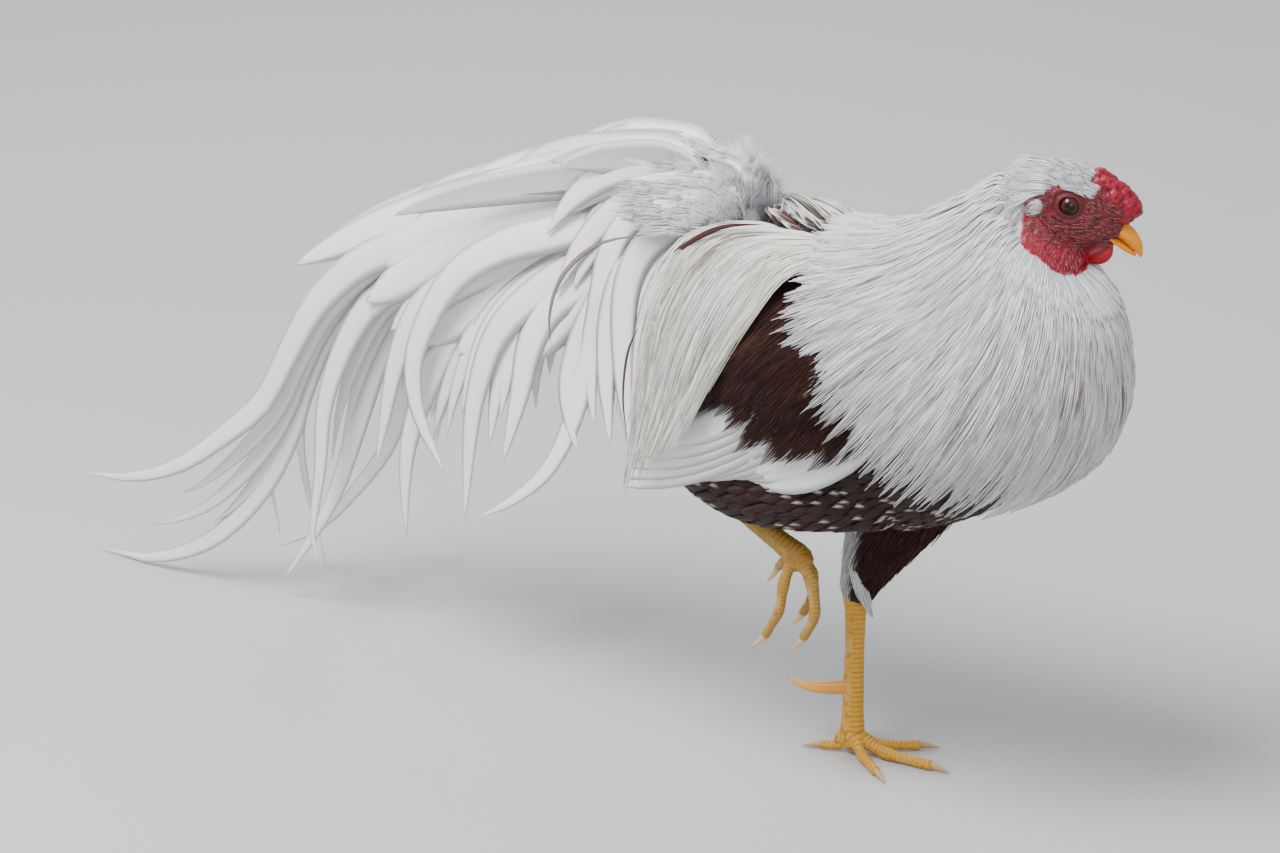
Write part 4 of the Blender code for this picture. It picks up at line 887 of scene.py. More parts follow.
for side, word in ((-1, "right"), (1, "left")):
    rng = np.random.default_rng(31 + side)
    t = np.linspace(0, 1, SADDLE_STEPS)
    mids, outs = [], []
    for layer in range(SADDLE_LAYERS):
        for k in range(STRANDS):
            place = (k + 0.5 * (layer % 2) + rng.uniform(-0.3, 0.3)) / STRANDS * (3.0 if side < 0 else 3.9)
            view = smooth(row_at(np.array(SADDLE).reshape(len(SADDLE), -1), place).reshape(-1, 2), VIEW_POINTS)
            at = np.clip((1.0 - 0.13 * layer + rng.uniform(-0.07, 0.02)) * t, 0, 1) * (VIEW_POINTS - 1)
            x, z, w = (np.interp(at, np.arange(VIEW_POINTS), row) for row in (*view.T, outward))
            x, z = x + rng.uniform(-0.003, 0.003), z + rng.uniform(-0.002, 0.002) - 0.005 * np.maximum(0, 1 - t / 0.12)
            mid, out = flank(skin_tree, [list(zip(x, z))], side, 0.0162 + 0.0007 * layer + 0 * t)
            reach = np.maximum(w + 0.0007 * layer, np.where(t > 0.25, (mid[0, :, 1] - BODY_Y) * side, 0))
            reach = np.maximum(np.maximum.accumulate(reach) - 0.012 * np.maximum(0, t - 0.45), reach)
            mids.append(pack(x, BODY_Y + side * reach, z))
            upright = np.array((0, 0, 1.3)) * np.maximum(0, 1 - t / 0.35)[:, None]
            outs.append(unit(out[0] + np.array((0, side * 0.6, 0.15)) + upright))
    mid, out = np.array(mids), np.array(outs)
    half = leaf(SADDLE_STEPS, 0.5, 1.3) * rng.uniform(0.0040, 0.0050, (len(mid), 1))
    warm = np.clip(rng.normal(0.5, 0.3, (len(mid), 1, 1)), 0, 1)
    streak = (rng.random(len(mid)) < 0.03)[:, None, None] * hump(t, 0.6, 0.3)[None, :, None]
    tint = mixed(mixed(WHITE, CREAM, warm) + 0 * mid, TAN, 0.8 * streak)
    dark_root = (rng.random(len(mid)) < 0.40 * fade(mid[:, 0, 0], -0.05, 0.0))[:, None, None]
    dark_root = dark_root * (1 - fade(t, 0.10, 0.30))[None, :, None] * 0.9
    tint = mixed(tint, CHESTNUT, dark_root)
    saddles.append(make_coat("saddle_coat_" + word,
                             [tress(mid, out, half, 6, 0.00085, 0.0005, barrel(mid[:, 0]), tint, rng, 0.08, 0.2)]))

# %% [markdown]
# The tail is the bird's glory: a pile of broad top feathers, then long sickles whose tips trail on the ground.
# Each main feather has the sideways places of its root and tip in metres, then its half width and a row of
# side-view points (x and z), both in millimetres.
# The fans are short feathers at its root, and a chain names neighbours whose gaps shorter feathers fill.

# %% Tail lines
TAIL = {
    "top_short": (-0.018, 0.000, 15, [(-110, 383), (-152, 385), (-193, 375), (-229, 359)]),
    "top_second": (-0.024, -0.010, 15, [(-113, 380), (-177, 374), (-230, 359), (-274, 334)]),
    "top_third": (-0.018, 0.004, 14, [(-117, 371), (-190, 361), (-256, 343), (-316, 322), (-372, 295)]),
    "top_long": (-0.026, -0.020, 14, [(-110, 370), (-179, 357), (-243, 341), (-308, 318), (-371, 290), (-432, 256)]),
    "top_under": (-0.012, 0.014, 13, [(-121, 368), (-193, 355), (-260, 338), (-328, 314), (-386, 287), (-445, 254)]),
    "sickle_high": (-0.026, -0.032, 10.5, [(-117, 360), (-185, 344), (-255, 322), (-320, 297), (-369, 272), (-408, 235),
        (-435, 191), (-455, 156), (-488, 126), (-529, 95), (-574, 76), (-618, 71)]),
    "sickle_long": (-0.022, -0.006, 11, [(-120, 355), (-190, 335), (-263, 312), (-321, 288), (-370, 259), (-408, 216),
        (-431, 172), (-444, 136), (-471, 86), (-518, 36), (-575, 7), (-626, 3)]),
    "thin_high": (-0.020, 0.004, 6, [(-122, 354), (-193, 331), (-267, 305), (-335, 276), (-396, 238), (-442, 192),
        (-472, 142), (-478, 103), (-470, 46)]),
    "thin_low": (-0.018, 0.014, 6, [(-124, 351), (-196, 328), (-270, 301), (-330, 273), (-384, 235), (-426, 190),
        (-450, 137), (-452, 95), (-438, 27)]),
    "ribbon": (-0.030, -0.030, 10, [(-115, 351), (-183, 329), (-254, 302), (-311, 277), (-357, 249), (-384, 211),
        (-402, 165), (-407, 117), (-415, 64), (-404, 42)]),
    "sickle_low": (-0.022, -0.002, 10, [(-120, 348), (-191, 321), (-257, 295), (-307, 271), (-346, 242), (-371, 198),
        (-393, 141), (-414, 89), (-443, 42), (-465, 12)]),
    "broad_back": (-0.034, -0.046, 12, [(-112, 346), (-171, 328), (-232, 303), (-279, 280), (-312, 253), (-330, 216),
        (-340, 172), (-346, 138)]),
    "arch": (-0.040, -0.062, 10.5, [(-107, 358), (-158, 343), (-206, 325), (-245, 309), (-277, 285), (-297, 253),
        (-307, 221), (-301, 187), (-276, 150)]),
    "broad_mid": (-0.036, -0.050, 11, [(-110, 345), (-162, 324), (-207, 306), (-246, 283), (-281, 250), (-304, 204),
        (-318, 163), (-321, 127), (-319, 94)]),
    "pointed_mid": (-0.044, -0.070, 10, [(-105, 344), (-147, 324), (-184, 307), (-216, 283), (-240, 255), (-252, 219),
        (-256, 182), (-256, 126)]),
    "broad_front": (-0.040, -0.070, 12, [(-107, 339), (-141, 320), (-176, 301), (-201, 279), (-213, 251), (-217, 220),
        (-225, 174)]),
    "short_front": (-0.050, -0.082, 10, [(-100, 344), (-127, 325), (-150, 304), (-165, 273), (-172, 239), (-165, 212),
        (-156, 199)]),
    "hook": (-0.048, -0.095, 8.5, [(-90, 367), (-116, 364), (-141, 346), (-152, 321), (-155, 289), (-159, 253),
        (-166, 216), (-180, 183), (-203, 159), (-228, 143)]),
    "covert_back": (-0.050, -0.090, 9, [(-90, 354), (-114, 343), (-135, 321), (-142, 288), (-138, 252), (-127, 213)]),
    "covert_mid": (-0.052, -0.096, 9, [(-84, 360), (-105, 352), (-123, 335), (-131, 311), (-128, 280), (-119, 245),
        (-104, 207)]),
    "covert_front": (-0.054, -0.096, 8, [(-78, 354), (-92, 341), (-106, 318), (-112, 290), (-110, 253), (-107, 220)]),
    "ground": (0.010, 0.050, 8, [(-143, 341), (-217, 315), (-294, 283), (-338, 253), (-362, 215), (-377, 168),
        (-396, 119), (-435, 70), (-469, 36), (-507, 12)]),
    "arch_top": (-0.020, -0.046, 14, [(-92, 372), (-126, 382), (-160, 374), (-188, 352), (-206, 326)]),
    "arch_high": (-0.022, -0.054, 13, [(-90, 366), (-122, 368), (-152, 352), (-178, 324), (-194, 290)]),
    "arch_mid": (-0.026, -0.064, 12, [(-86, 360), (-112, 358), (-136, 340), (-152, 312), (-160, 270)]),
    "arch_low": (-0.030, -0.074, 11, [(-82, 352), (-100, 343), (-118, 322), (-130, 292), (-136, 250)])}
FANS = [((-240, 338), (-360, 272)), ((-240, 328), (-362, 247)), ((-225, 318), (-338, 234)),
        ((-210, 308), (-309, 231)), ((-195, 302), (-277, 232)), ((-180, 304), (-245, 235)),
        ((-165, 310), (-216, 243))]
CHAINS = ["arch_top arch_high arch_mid arch_low", "top_short top_second top_third top_long", "sickle_high sickle_long",
          "ribbon sickle_low", "broad_back broad_mid pointed_mid broad_front",
          "short_front covert_back covert_mid covert_front"]
FAMILIES = [pair for chain in CHAINS for pair in zip(chain.split(), chain.split()[1:])]
print("lines in the tail:", len(TAIL), "families between them:", len(FAMILIES))

# %% [markdown]
# Hanging a feather walks it along its line at an even pace. The fans at the root come first, then one feather for
# each line, then the families: feathers between two lines, shorter, with a copy on the far side.

# %% Tail feathers
TAIL_STEPS, VIEW_STEPS = 34, 60
rng = np.random.default_rng(41)
t = np.linspace(0, 1, TAIL_STEPS)


def side_view(points):
    return smooth(np.array(points) / 1000.0, VIEW_STEPS)


guides = {name: side_view([(-104, 343)] + row[3]) for name, row in TAIL.items()}
mids, outs, halves = [], [], []


def hang(view, y0, y1, side, share, wide, fullness, lean, shift=0.0):
    gone = run_length(view)
    at = t * share * gone[-1]
    x, z = np.interp(at, gone, view[:, 0]), np.interp(at, gone, view[:, 1])
    start = (y0 + BODY_Y) * 0.5
    y = start + (y1 - start) * t * share
    flow = unit(pack(np.gradient(x), np.gradient(z)))
    ease = shift * np.sin(math.pi * t * 0.5)
    x, z = x + flow[:, 1] * ease, np.maximum(z - flow[:, 0] * ease, 0.0012)
    sway = rng.uniform(-0.12, 0.12)
    mids.append(pack(x, BODY_Y + (y - BODY_Y) * -side, z))
    outs.append(np.tile(unit((-0.05 + sway, side, lean + sway)), (TAIL_STEPS, 1)))
    halves.append(leaf(TAIL_STEPS, 0.3, fullness) * wide * 0.001 + 0.0002)


for k, (middle, end) in enumerate(FANS):
    for side, inward in ((-1, -0.003 - 0.0022 * k), (1, -0.002 - 0.003 * k)):
        view = side_view([(-104, 345), middle, end])
        hang(view, BODY_Y + inward, BODY_Y + inward * 2.2, side, 1.0, 19, 4.5, 0.25)
for name, (y0, y1, wide, _) in TAIL.items():
    top = name.startswith("top")
    grown = wide * (1.25 if top else 1.0 if name.startswith("arch_") else 1.22)
    hang(guides[name], y0, y1, -1, 1.0, grown, 3.0 if top else 1.6, 0.55 if top else 0.30)
for first, second in FAMILIES:
    top, (a0, a1, wa, _), (b0, b1, wb, _) = first.startswith("top"), TAIL[first], TAIL[second]
    for between in (0.0, 0.30, 0.62, 0.85):
        view = mixed(guides[first], guides[second], between)
        y0, y1 = a0 + (b0 - a0) * between + 0.003, a1 + (b1 - a1) * between + 0.004
        wide = (wa + (wb - wa) * between) * rng.uniform(1.05, 1.25)
        if between:
            hang(view, y0, y1, -1, rng.uniform(0.72, 0.94), wide, 2.4 if top else 1.7, 0.5 if top else 0.3,
                 rng.uniform(-0.004, 0.004))
        if not first.startswith(("sickle", "ribbon", "top_third")):
            hang(view, y0 + 0.002, y1 + 0.006, 1, rng.uniform(0.72, 0.90), wide, 1.8, 0.35, rng.uniform(-0.005, 0.005))
mid, out, half = np.array(mids), np.array(outs), np.array(halves)
tint = WHITE * rng.uniform(0.96, 1.02, (len(mid), 1, 1, 1)) * np.ones((1, TAIL_STEPS, len(VANE), 1))
tint = tint * (0.90 + 0.10 * np.minimum(1, t * 4))[None, :, None, None]
beside = np.clip((mid[:, 0, 1] - BODY_Y) / 0.03, -1, 1)
tail_root = pack(0.5 + 0.4 * beside, np.linspace(0.02, 0.60, len(mid)))
tail_batches = [strips(mid, out, half, VANE, 0.0006, 0.12, tail_root, tint)]
print("tail feathers:", len(mid))

# %% [markdown]
# Three odd feathers break the white: a grey-brown curl over the coverts, a chestnut one along the top of the
# saddle and a thin brown one where saddle and tail meet.

# %% The odd brown feathers
ODD_STEPS = 16
ODD = [
    ([(-0.112, 0.350, -0.070), (-0.138, 0.343, -0.082), (-0.158, 0.3267, -0.086), (-0.1695, 0.3081, -0.088),
      (-0.174, 0.2873, -0.089), (-0.1716, 0.2700, -0.090)], 0.0017, (0.20, 0.14, 0.11)),
    ([(-0.036, 0.367, -0.058), (-0.056, 0.3650, -0.070), (-0.0760, 0.3535, -0.076), (-0.0914, 0.3396, -0.080),
      (-0.101, 0.326, -0.084)], 0.0019, (0.040, 0.009, 0.007)),
    ([(-0.1029, 0.300, -0.092), (-0.110, 0.2796, -0.0955), (-0.1125, 0.2499, -0.097), (-0.1097, 0.221, -0.096)],
     0.0010, (0.07, 0.026, 0.012))]
for rows, wide, colour in ODD:
    mid = smooth(rows, ODD_STEPS)[None, :, [0, 2, 1]]
    out = np.broadcast_to(unit((0.1, -1.0, 0.35)), mid.shape)
    core = np.array(colour) * (1 + 0.9 * (1 - np.abs(VANE[:, :1])) ** 2)
    tail_batches.append(strips(mid, out, leaf(ODD_STEPS, 0.35, 1.5, 0.08)[None] * wide, VANE, 0.0003, 0.1,
                               np.array([[0.3, 0.63]]), np.broadcast_to(core, (1, ODD_STEPS, len(VANE), 3))))

# %% [markdown]
# Soft downy plumes cushion the root of the tail. They rise from the back, roll over and lie back along the tail.
# Their barbs don't hook together, so each is a tress of thin blades over one soft vane, and hundreds of
# small tufts stand on them. Most tufts are on the near side; those at the top and front stand up more.

# %% Tail fluff
rng = np.random.default_rng(43)
PUFF = [(-0.050, 0.362), (-0.052, 0.384), (-0.070, 0.398), (-0.105, 0.400), (-0.148, 0.392)]
PUFF_HEART, PUFF_X, PUFF_Z = np.array((-0.100, 0.350)), -0.100, 0.345
PLUMES, PLUME_STEPS, TUFTS = 70, 9, 960
t = np.linspace(0, 1, PLUME_STEPS)
mids, outs = [], []
for _ in range(PLUMES):
    turn, level = rng.uniform(-1.0, 1.0), rng.uniform(0.55, 1.0)
    line = (smooth(PUFF, PLUME_STEPS) - PUFF_HEART) * (level * np.array([1.0, 0.98])) * rng.uniform(0.95, 1.0)
    line = PUFF_HEART + line * (0.35 + 0.65 * np.minimum(1, 2.2 * t + 0.1))[:, None]
    round_off = math.sqrt(1 - 0.72 * turn * turn)
    y = BODY_Y + turn * (0.020 + (0.034 if turn < 0 else 0.022) * t)
    z = PUFF_Z + (line[:, 1] - PUFF_Z) * round_off - 0.006 * abs(turn) * t
    mids.append(pack(line[:, 0], y, z))
    away = pack(line[:, 0] - PUFF_X, y - BODY_Y, z - PUFF_Z)
    outs.append(unit(away * np.array((1.0, 1.4, 1.0))))
mid, out = np.array(mids), np.array(outs)
soft = WHITE * np.ones_like(mid)
puff_root = pack(0.1 + 0.8 * rng.random(len(mid)), np.linspace(0.65, 0.80, len(mid)))
wide = leaf(PLUME_STEPS, 0.3, 1.8, 0.5)[None] * rng.uniform(0.0100, 0.0125, (len(mid), 1))
fluff = [strips(mid - out * 0.0030, out, wide * 0.9, VANE, 0.0005, 0.2, puff_root,
                np.repeat(soft[:, :, None], len(VANE), axis=2)),
         tress(mid, out, wide * 1.1, 5, 0.00045, 0.0003, puff_root, soft, rng, 0.3, 0.2)]
seen = np.where(mid[:, 4, 1] < BODY_Y, 1.0, 0.4)
plume, at = rng.choice(len(mid), TUFTS, p=seen / seen.sum()), rng.integers(0, PLUME_STEPS - 2, TUFTS)
flow = unit(mid[plume, at + 1] - mid[plume, at])
away = out[plume, at]
stand = 0.10 + 0.30 * np.maximum(fade(away[:, 2:], 0.85, 0.98), fade(away[:, :1], 0.4, 0.8))
lean = unit(flow + away * stand + rng.uniform(-0.15, 0.15, flow.shape))
t = np.linspace(0, 1, 4)[:, None]
long = rng.uniform(0.011, 0.018, (len(flow), 1, 1))
along, across = rng.random((len(flow), 1)), rng.uniform(-0.009, 0.009, (len(flow), 1))
spot = mixed(mid[plume, at], mid[plume, at + 1], along) + np.cross(flow, away) * across
down = spot[:, None] + (lean[:, None] * t + flow[:, None] * 0.35 * t * t) * long
down_out = np.cross(flow, rng.uniform(-0.5, 0.5, flow.shape) + np.cross(away, flow))
down_out = unit(down_out)[:, None] + 0 * down
fluff.append(tress(down, down_out, np.full(down.shape[:2], 0.0034), 8, 0.00036, 0.00015,
                   pack(0.1 + 0.8 * rng.random(len(down)), 0.85), WHITE * np.ones_like(down), rng, 0.5, 0.1))
tail_coat = make_coat("tail_coat", tail_batches)
fluff_coat = make_coat("fluff_coat", fluff)

# %% [markdown]
# A leg is bone and tendon under scales: the shank and four toes are tubes with knuckles, melted into one skin.
# Broad plates band the front of the shank and the top of each toe; small round scales cover the rest.
# Both are pressed in by how far a point lies along its tube and how much it faces the front.

# %% Legs and feet
GROUND = 0.0002
# The last colour is painted shade: a darker, greyer yellow for the raised right leg in the shadow under the body.
YELLOW, GROOVE, YELLOW_IN_SHADE = (0.62, 0.33, 0.018), (0.30, 0.13, 0.012), (0.36, 0.215, 0.03)
TOE_R, TOE_POINTS, SHANK_POINTS = 0.0048, 20, 30
SHANK_R, SHANK_DEPTH, SHANK_PITCH, TOE_PITCH = 0.0060, 0.0072, 0.0034, 0.0027
LEG_VOXEL, SCALE_SIZE, SCALE_DEPTH = 0.0006, 0.0026, 0.00042
LEFT_TOES = [(4, 0.057, 1.0), (-36, 0.040, 0.92), (38, 0.044, 0.92), (-158, 0.020, 0.84)]
RIGHT_TOES = [
    ([(-0.003, -0.059, 0.151), (0.004, -0.059, 0.139), (0.007, -0.060, 0.118), (-0.001, -0.060, 0.101)],
     0.95, (-0.55, 0.0, -0.84)),
    ([(-0.006, -0.052, 0.150), (-0.003, -0.047, 0.139), (-0.004, -0.045, 0.124), (-0.011, -0.045, 0.110)],
     0.88, (-0.60, 0.0, -0.80)),
    ([(-0.009, -0.063, 0.151), (-0.011, -0.068, 0.138), (-0.013, -0.070, 0.120), (-0.023, -0.070, 0.101)],
     0.88, (-0.62, 0.0, -0.78)),
    ([(-0.013, -0.056, 0.153), (-0.020, -0.053, 0.147), (-0.026, -0.051, 0.140)], 0.80, (-0.45, 0.0, -0.89))]
left_toes = []
for turn, length, size in LEFT_TOES:
    c, s = math.cos(math.radians(turn)), math.sin(math.radians(turn))
    fall = zip((-0.002, 0.008, length * 0.45, length), (0.0125, 0.0095, 0.0046, 0.0036))
    left_toes.append(([(c * far, s * far, z) for far, z in fall], size, (c, s, 0.0)))
SHANKS = {"left": ((0.001, 0.0, 0.116), (0.0, 0.0, 0.012), (1.0, 0.0, 0.0)),
          "right": ((-0.092, -0.062, 0.202), (-0.0075, -0.057, 0.154), (0.50, 0.0, 0.87))}
print("toes:", len(left_toes), "left,", len(RIGHT_TOES), "right")

# %% [markdown]
# For every point of a leg, the nearest line tells how many plates lie behind it and whether it faces the plates' side.
# Each leg is then built, melted, pressed and painted in one turn of the loop.

# %% Building the legs
legs, claw_rows = [], []


def along_lines(pts, lines):
    best, along, facing = np.full(len(pts), 1e9), np.zeros(len(pts)), np.zeros(len(pts))
    for path, up, pitch in lines:
        for a, b, start in zip(path[:-1], path[1:], run_length(path)):
            k, apart = from_stretch(pts, a, b)
            gap = np.linalg.norm(apart, axis=1)
            near = gap < best
            best = np.where(near, gap, best)
            along = np.where(near, (start + k * np.linalg.norm(b - a)) / pitch, along)
            facing = np.where(near, (apart @ up) / np.maximum(gap, 1e-6), facing)
    return along, facing


for word, toes in (("left", left_toes), ("right", RIGHT_TOES)):
    top, bottom, front = (np.array(v) for v in SHANKS[word])
    bm = bmesh.new()
    rows = []
    for k in np.linspace(0, 1, 14):
        knob = 1 + 0.42 * hump(k, 0, 0.10) + 0.22 * hump(k, 1, 0.09) - 0.10 * hump(k, 0.45, 0.25)
        rows.append((*(top + (bottom - top) * k), SHANK_R * knob, SHANK_DEPTH * knob))
    tube(bm, rows, SHANK_POINTS, 24)
    egg(bm, Vector(bottom) + Vector((0.0005, 0, -0.0015)), [X, Y, Z], (0.0098, 0.0088, 0.0085), 20)
    lines = [(smooth([top, bottom], SHANK_POINTS), front, SHANK_PITCH)]
    upper = np.array((0.0, 0.0, 1.0) if word == "left" else (0.85, 0.0, 0.45))
    for points, size, along in toes:
        path, share = smooth(points, TOE_POINTS), np.linspace(0, 1, TOE_POINTS)
        r = TOE_R * size * (1 - 0.34 * share) * (1 + 0.09 * np.cos(share * 6 * math.pi))
        tube(bm, np.column_stack([path, r, r * 0.92]), 26, 14, Vector((0.13, 0.21, 1.0)))
        lines.append((path, upper, TOE_PITCH))
        claw_rows.append((np.array(path[-1]), np.array(along), TOE_R * size * 0.56, word))
    leg = make_piece("leg_" + word, bm)
    melt(leg, LEG_VOXEL, 3)
    pts, out = points_of(leg.data), normals_of(leg.data)
    along, facing = along_lines(pts, lines)
    band = along - np.floor(along)
    plate = (1 - hump(np.minimum(band, 1 - band), 0, 0.13)) * (0.75 + 0.25 * band)
    plated = fade(facing, 0.10, 0.40)
    relief = mixed(lumps(pts, SCALE_SIZE, 9), plate, plated)
    pts = pts + out * (SCALE_DEPTH * (relief - 0.5))[:, None]
    pts[:, 2] = np.maximum(pts[:, 2], GROUND)
    move_points(leg.data, pts)
    # The right leg is painted the darker yellow as painted shade for the shadow under the body.
    base = np.tile(YELLOW if word == "left" else YELLOW_IN_SHADE, (len(pts), 1))
    base = blend(base, (0.60, 0.40, 0.17), 0.5 * (1 - plated) * fade(folds(pts, 0.012, 10), -0.2, 0.5))
    paint(leg.data, blend(base, GROOVE, 0.75 * (1 - fade(relief, 0.25, 0.75))))
    shade_smooth(leg.data)
    legs.append(leg)
    print(leg.name, "faces:", len(leg.data.polygons))

# %% [markdown]
# Horn parts are smooth tapering tubes: eight claws, two spurs and the two halves of the beak.
# Their colour runs from the root to the tip, so it is painted by the distance from the root.

# %% Claws, spurs and beak
def horn_piece(name, bm, colours, root, reach):
    piece = make_piece(name, bm)
    pts = points_of(piece.data)
    share = np.clip(distance_to_line(pts, np.array(root)) / reach, 0, 1)[:, None]
    paint(piece.data, mixed(*colours, share))
    shade_smooth(piece.data)
    return piece


bm = bmesh.new()
for start, along, r, word in claw_rows:
    droop = np.array((0, 0, -0.0022)) if word == "left" else np.array((-0.0022, 0, 0.0))
    rows = []
    for k, grow in ((-0.10, 0.9), (0.1, 1.0), (0.35, 0.84), (0.7, 0.54), (1.0, 0.12)):
        p = start + along * 0.0132 * k + droop * k * k
        rows.append((*p, r * grow * 0.8, r * grow))
    tube(bm, rows, 12, 12, Vector((0.13, 0.99, 0.1)))
claws = horn_piece("claws", bm, ((0.44, 0.27, 0.09), (0.55, 0.42, 0.24)), [row[0] for row in claw_rows[:4]], 0.02)
pts = points_of(claws.data)
pts[:, 2] = np.maximum(pts[:, 2], GROUND)
move_points(claws.data, pts)
SPUR_LEFT = [(0.000, -0.001, 0.0465, 0.0044, 0.0048), (-0.016, -0.005, 0.0435, 0.0040, 0.0043),
             (-0.030, -0.008, 0.0425, 0.0029, 0.0031), (-0.0435, -0.0105, 0.0455, 0.0006, 0.0006)]
SPUR_RIGHT = [(-0.040, -0.058, 0.1765, 0.0042, 0.0046), (-0.049, -0.047, 0.167, 0.0040, 0.0042),
              (-0.056, -0.037, 0.160, 0.0028, 0.0029), (-0.061, -0.026, 0.156, 0.0006, 0.0006)]
bm = bmesh.new()
for rows in (SPUR_LEFT, SPUR_RIGHT):
    tube(bm, rows, 16, 18)
spurs = horn_piece("spurs", bm, ((0.60, 0.24, 0.012), (0.76, 0.40, 0.06)),
                   [SPUR_LEFT[0][:3], (0.0, -0.004, 0.05)], 0.045)
BEAK_UPPER = [(27, 7.4, 1.6, -9.0), (32, 7.4, 1.2, -9.6), (38, 6.6, 0.0, -10.6), (43, 5.2, -1.8, -12.2),
              (47.5, 3.8, -4.8, -13.9), (51, 2.4, -8.6, -15.3), (53.6, 0.5, -14.0, -16.6)]
BEAK_LOWER = [(27, 6.6, -8.6, -13.6), (31.5, 6.6, -9.6, -14.2), (38, 5.6, -10.9, -15.4), (43, 4.1, -12.4, -16.4),
              (47.5, 2.5, -14.1, -17.0), (50.2, 0.6, -15.6, -17.0)]
BEAK_ROOT = [head_point(29, 0, -4), head_point(33, 0, -1)]
beaks = []
for name, rows in (("beak_top", BEAK_UPPER), ("beak_bottom", BEAK_LOWER)):
    bm = bmesh.new()
    head_loft(bm, rows, 26, 28)
    beak = horn_piece(name, bm, ((0.58, 0.15, 0.02), (0.80, 0.285, 0.003)), BEAK_ROOT, 0.009)
    if name == "beak_top":
        slim = head_place(points_of(beak.data))
        mid_line = np.interp(slim[:, 0], [r[0] for r in rows], [(r[2] + r[3]) / 2 for r in rows])
        slim[:, 1] *= 1 - 0.35 * fade(slim[:, 2] - mid_line, 0.0, 3.0)
        move_points(beak.data, head_to_world(slim))
    beaks.append(beak)
print("claws, spurs and beak:", sum(len(p.data.polygons) for p in (claws, spurs, *beaks)), "faces")

# %% [markdown]
# The eye is one ball whose map Gaze runs from 0 at the middle of the pupil to 1 at its back,
# so the finish can ring it with pupil, iris and dark edge whichever way the head is turned.

# %% Eyes
eyeballs = []
for side, word in ((1, "left"), (-1, "right")):
    bm = bmesh.new()
    centre, aim = head_point(0.4, side * (EYE_SIDE + 0.9), 0), LEFT * side
    egg(bm, centre, [FWD, UP, aim], (EYE_R * 0.001, EYE_R * 0.001, EYE_R * 0.001), 40)
    ball = make_piece("eyeball_" + word, bm)
    gaze = ball.data.uv_layers.new(name="Gaze")
    for loop in ball.data.loops:
        turn = (ball.data.vertices[loop.vertex_index].co - centre).angle(aim)
        gaze.data[loop.index].uv = (turn / math.pi, 0.5)
    shade_smooth(ball.data)
    eyeballs.append(ball)
print("eye faces each:", len(eyeballs[0].data.polygons))

# %% [markdown]
# Finishes. Every one starts from the painted tint, darkens it with a pattern and bumps the surface with the same
# pattern, so small helpers build those parts. Patterns that are shared are node groups with inputs of their own.

# %% Shader helpers
def new_group(name, inputs, outputs):
    group = bpy.data.node_groups.new(name, "ShaderNodeTree")
    for label, kind, value in inputs:
        socket = group.interface.new_socket(label, in_out="INPUT", socket_type=kind)
        socket.default_value = value
    for label, kind in outputs:
        group.interface.new_socket(label, in_out="OUTPUT", socket_type=kind)
    return group, group.nodes.new("NodeGroupInput"), group.nodes.new("NodeGroupOutput")


def wire(tree, source, target):
    tree.links.new(source, target)


def maths(tree, operation, a, b=None):
    node = tree.nodes.new("ShaderNodeMath")
    node.operation = operation
    for socket, value in zip(node.inputs, (a, b)):
        if value is None:
            continue
        if isinstance(value, (int, float)):
            socket.default_value = value
        else:
            wire(tree, value, socket)
    return node.outputs[0]


def set_inputs(node, values):
    for label, value in values.items():
        node.inputs[label].default_value = value


def map_axes(tree, name):
    source = tree.nodes.new("ShaderNodeUVMap")
    source.uv_map = name
    parts = tree.nodes.new("ShaderNodeSeparateXYZ")
    wire(tree, source.outputs["UV"], parts.inputs[0])
    return parts.outputs


def grain(tree, scale, detail):
    place, cloud = tree.nodes.new("ShaderNodeTexCoord"), tree.nodes.new("ShaderNodeTexNoise")
    set_inputs(cloud, {"Scale": scale, "Detail": detail})
    wire(tree, place.outputs["Object"], cloud.inputs["Vector"])
    return cloud.outputs["Fac"]


def start_finish(name, values):
    mat = bpy.data.materials.new(name)
    mat.use_nodes = True
    shader = mat.node_tree.nodes["Principled BSDF"]
    set_inputs(shader, values)
    return mat, mat.node_tree, shader


def paint_and_relief(tree, shader, shade, share, height, strength, distance):
    tint = tree.nodes.new("ShaderNodeAttribute")
    tint.attribute_name = "tint"
    shading = tree.nodes.new("ShaderNodeMix")
    shading.data_type, shading.blend_type = "RGBA", "MULTIPLY"
    set_inputs(shading, {"B": (*shade, 1.0)})
    wire(tree, share, shading.inputs["Factor"])
    wire(tree, tint.outputs["Color"], shading.inputs["A"])
    wire(tree, shading.outputs["Result"], shader.inputs["Base Color"])
    relief = tree.nodes.new("ShaderNodeBump")
    set_inputs(relief, {"Strength": strength, "Distance": distance})
    wire(tree, height, relief.inputs["Height"])
    wire(tree, relief.outputs["Normal"], shader.inputs["Normal"])


print("shader helpers: new_group, maths, map_axes, grain and paint_and_relief")

# %% [markdown]
# The barbs group reads the map named Vane. Its height is a sine wave along the feather, slanted on both sides of
# the shaft. The finish darkens the crests a little and bumps the surface with the same wave.

# %% Feather finish
FULL_TURN = 6.283
barbs, given, result = new_group("barbs", [("Barb count", "NodeSocketFloat", 14.0), ("Slant", "NodeSocketFloat", 1.0)],
                                 [("Height", "NodeSocketFloat")])
vane = map_axes(barbs, "Vane")
off = maths(barbs, "ABSOLUTE", maths(barbs, "SUBTRACT", vane["X"], 0.5))
phase = maths(barbs, "SUBTRACT", vane["Y"], maths(barbs, "MULTIPLY", off, given.outputs["Slant"]))
turns = maths(barbs, "MULTIPLY", given.outputs["Barb count"], FULL_TURN)
wire(barbs, maths(barbs, "SINE", maths(barbs, "MULTIPLY", phase, turns)), result.inputs["Height"])


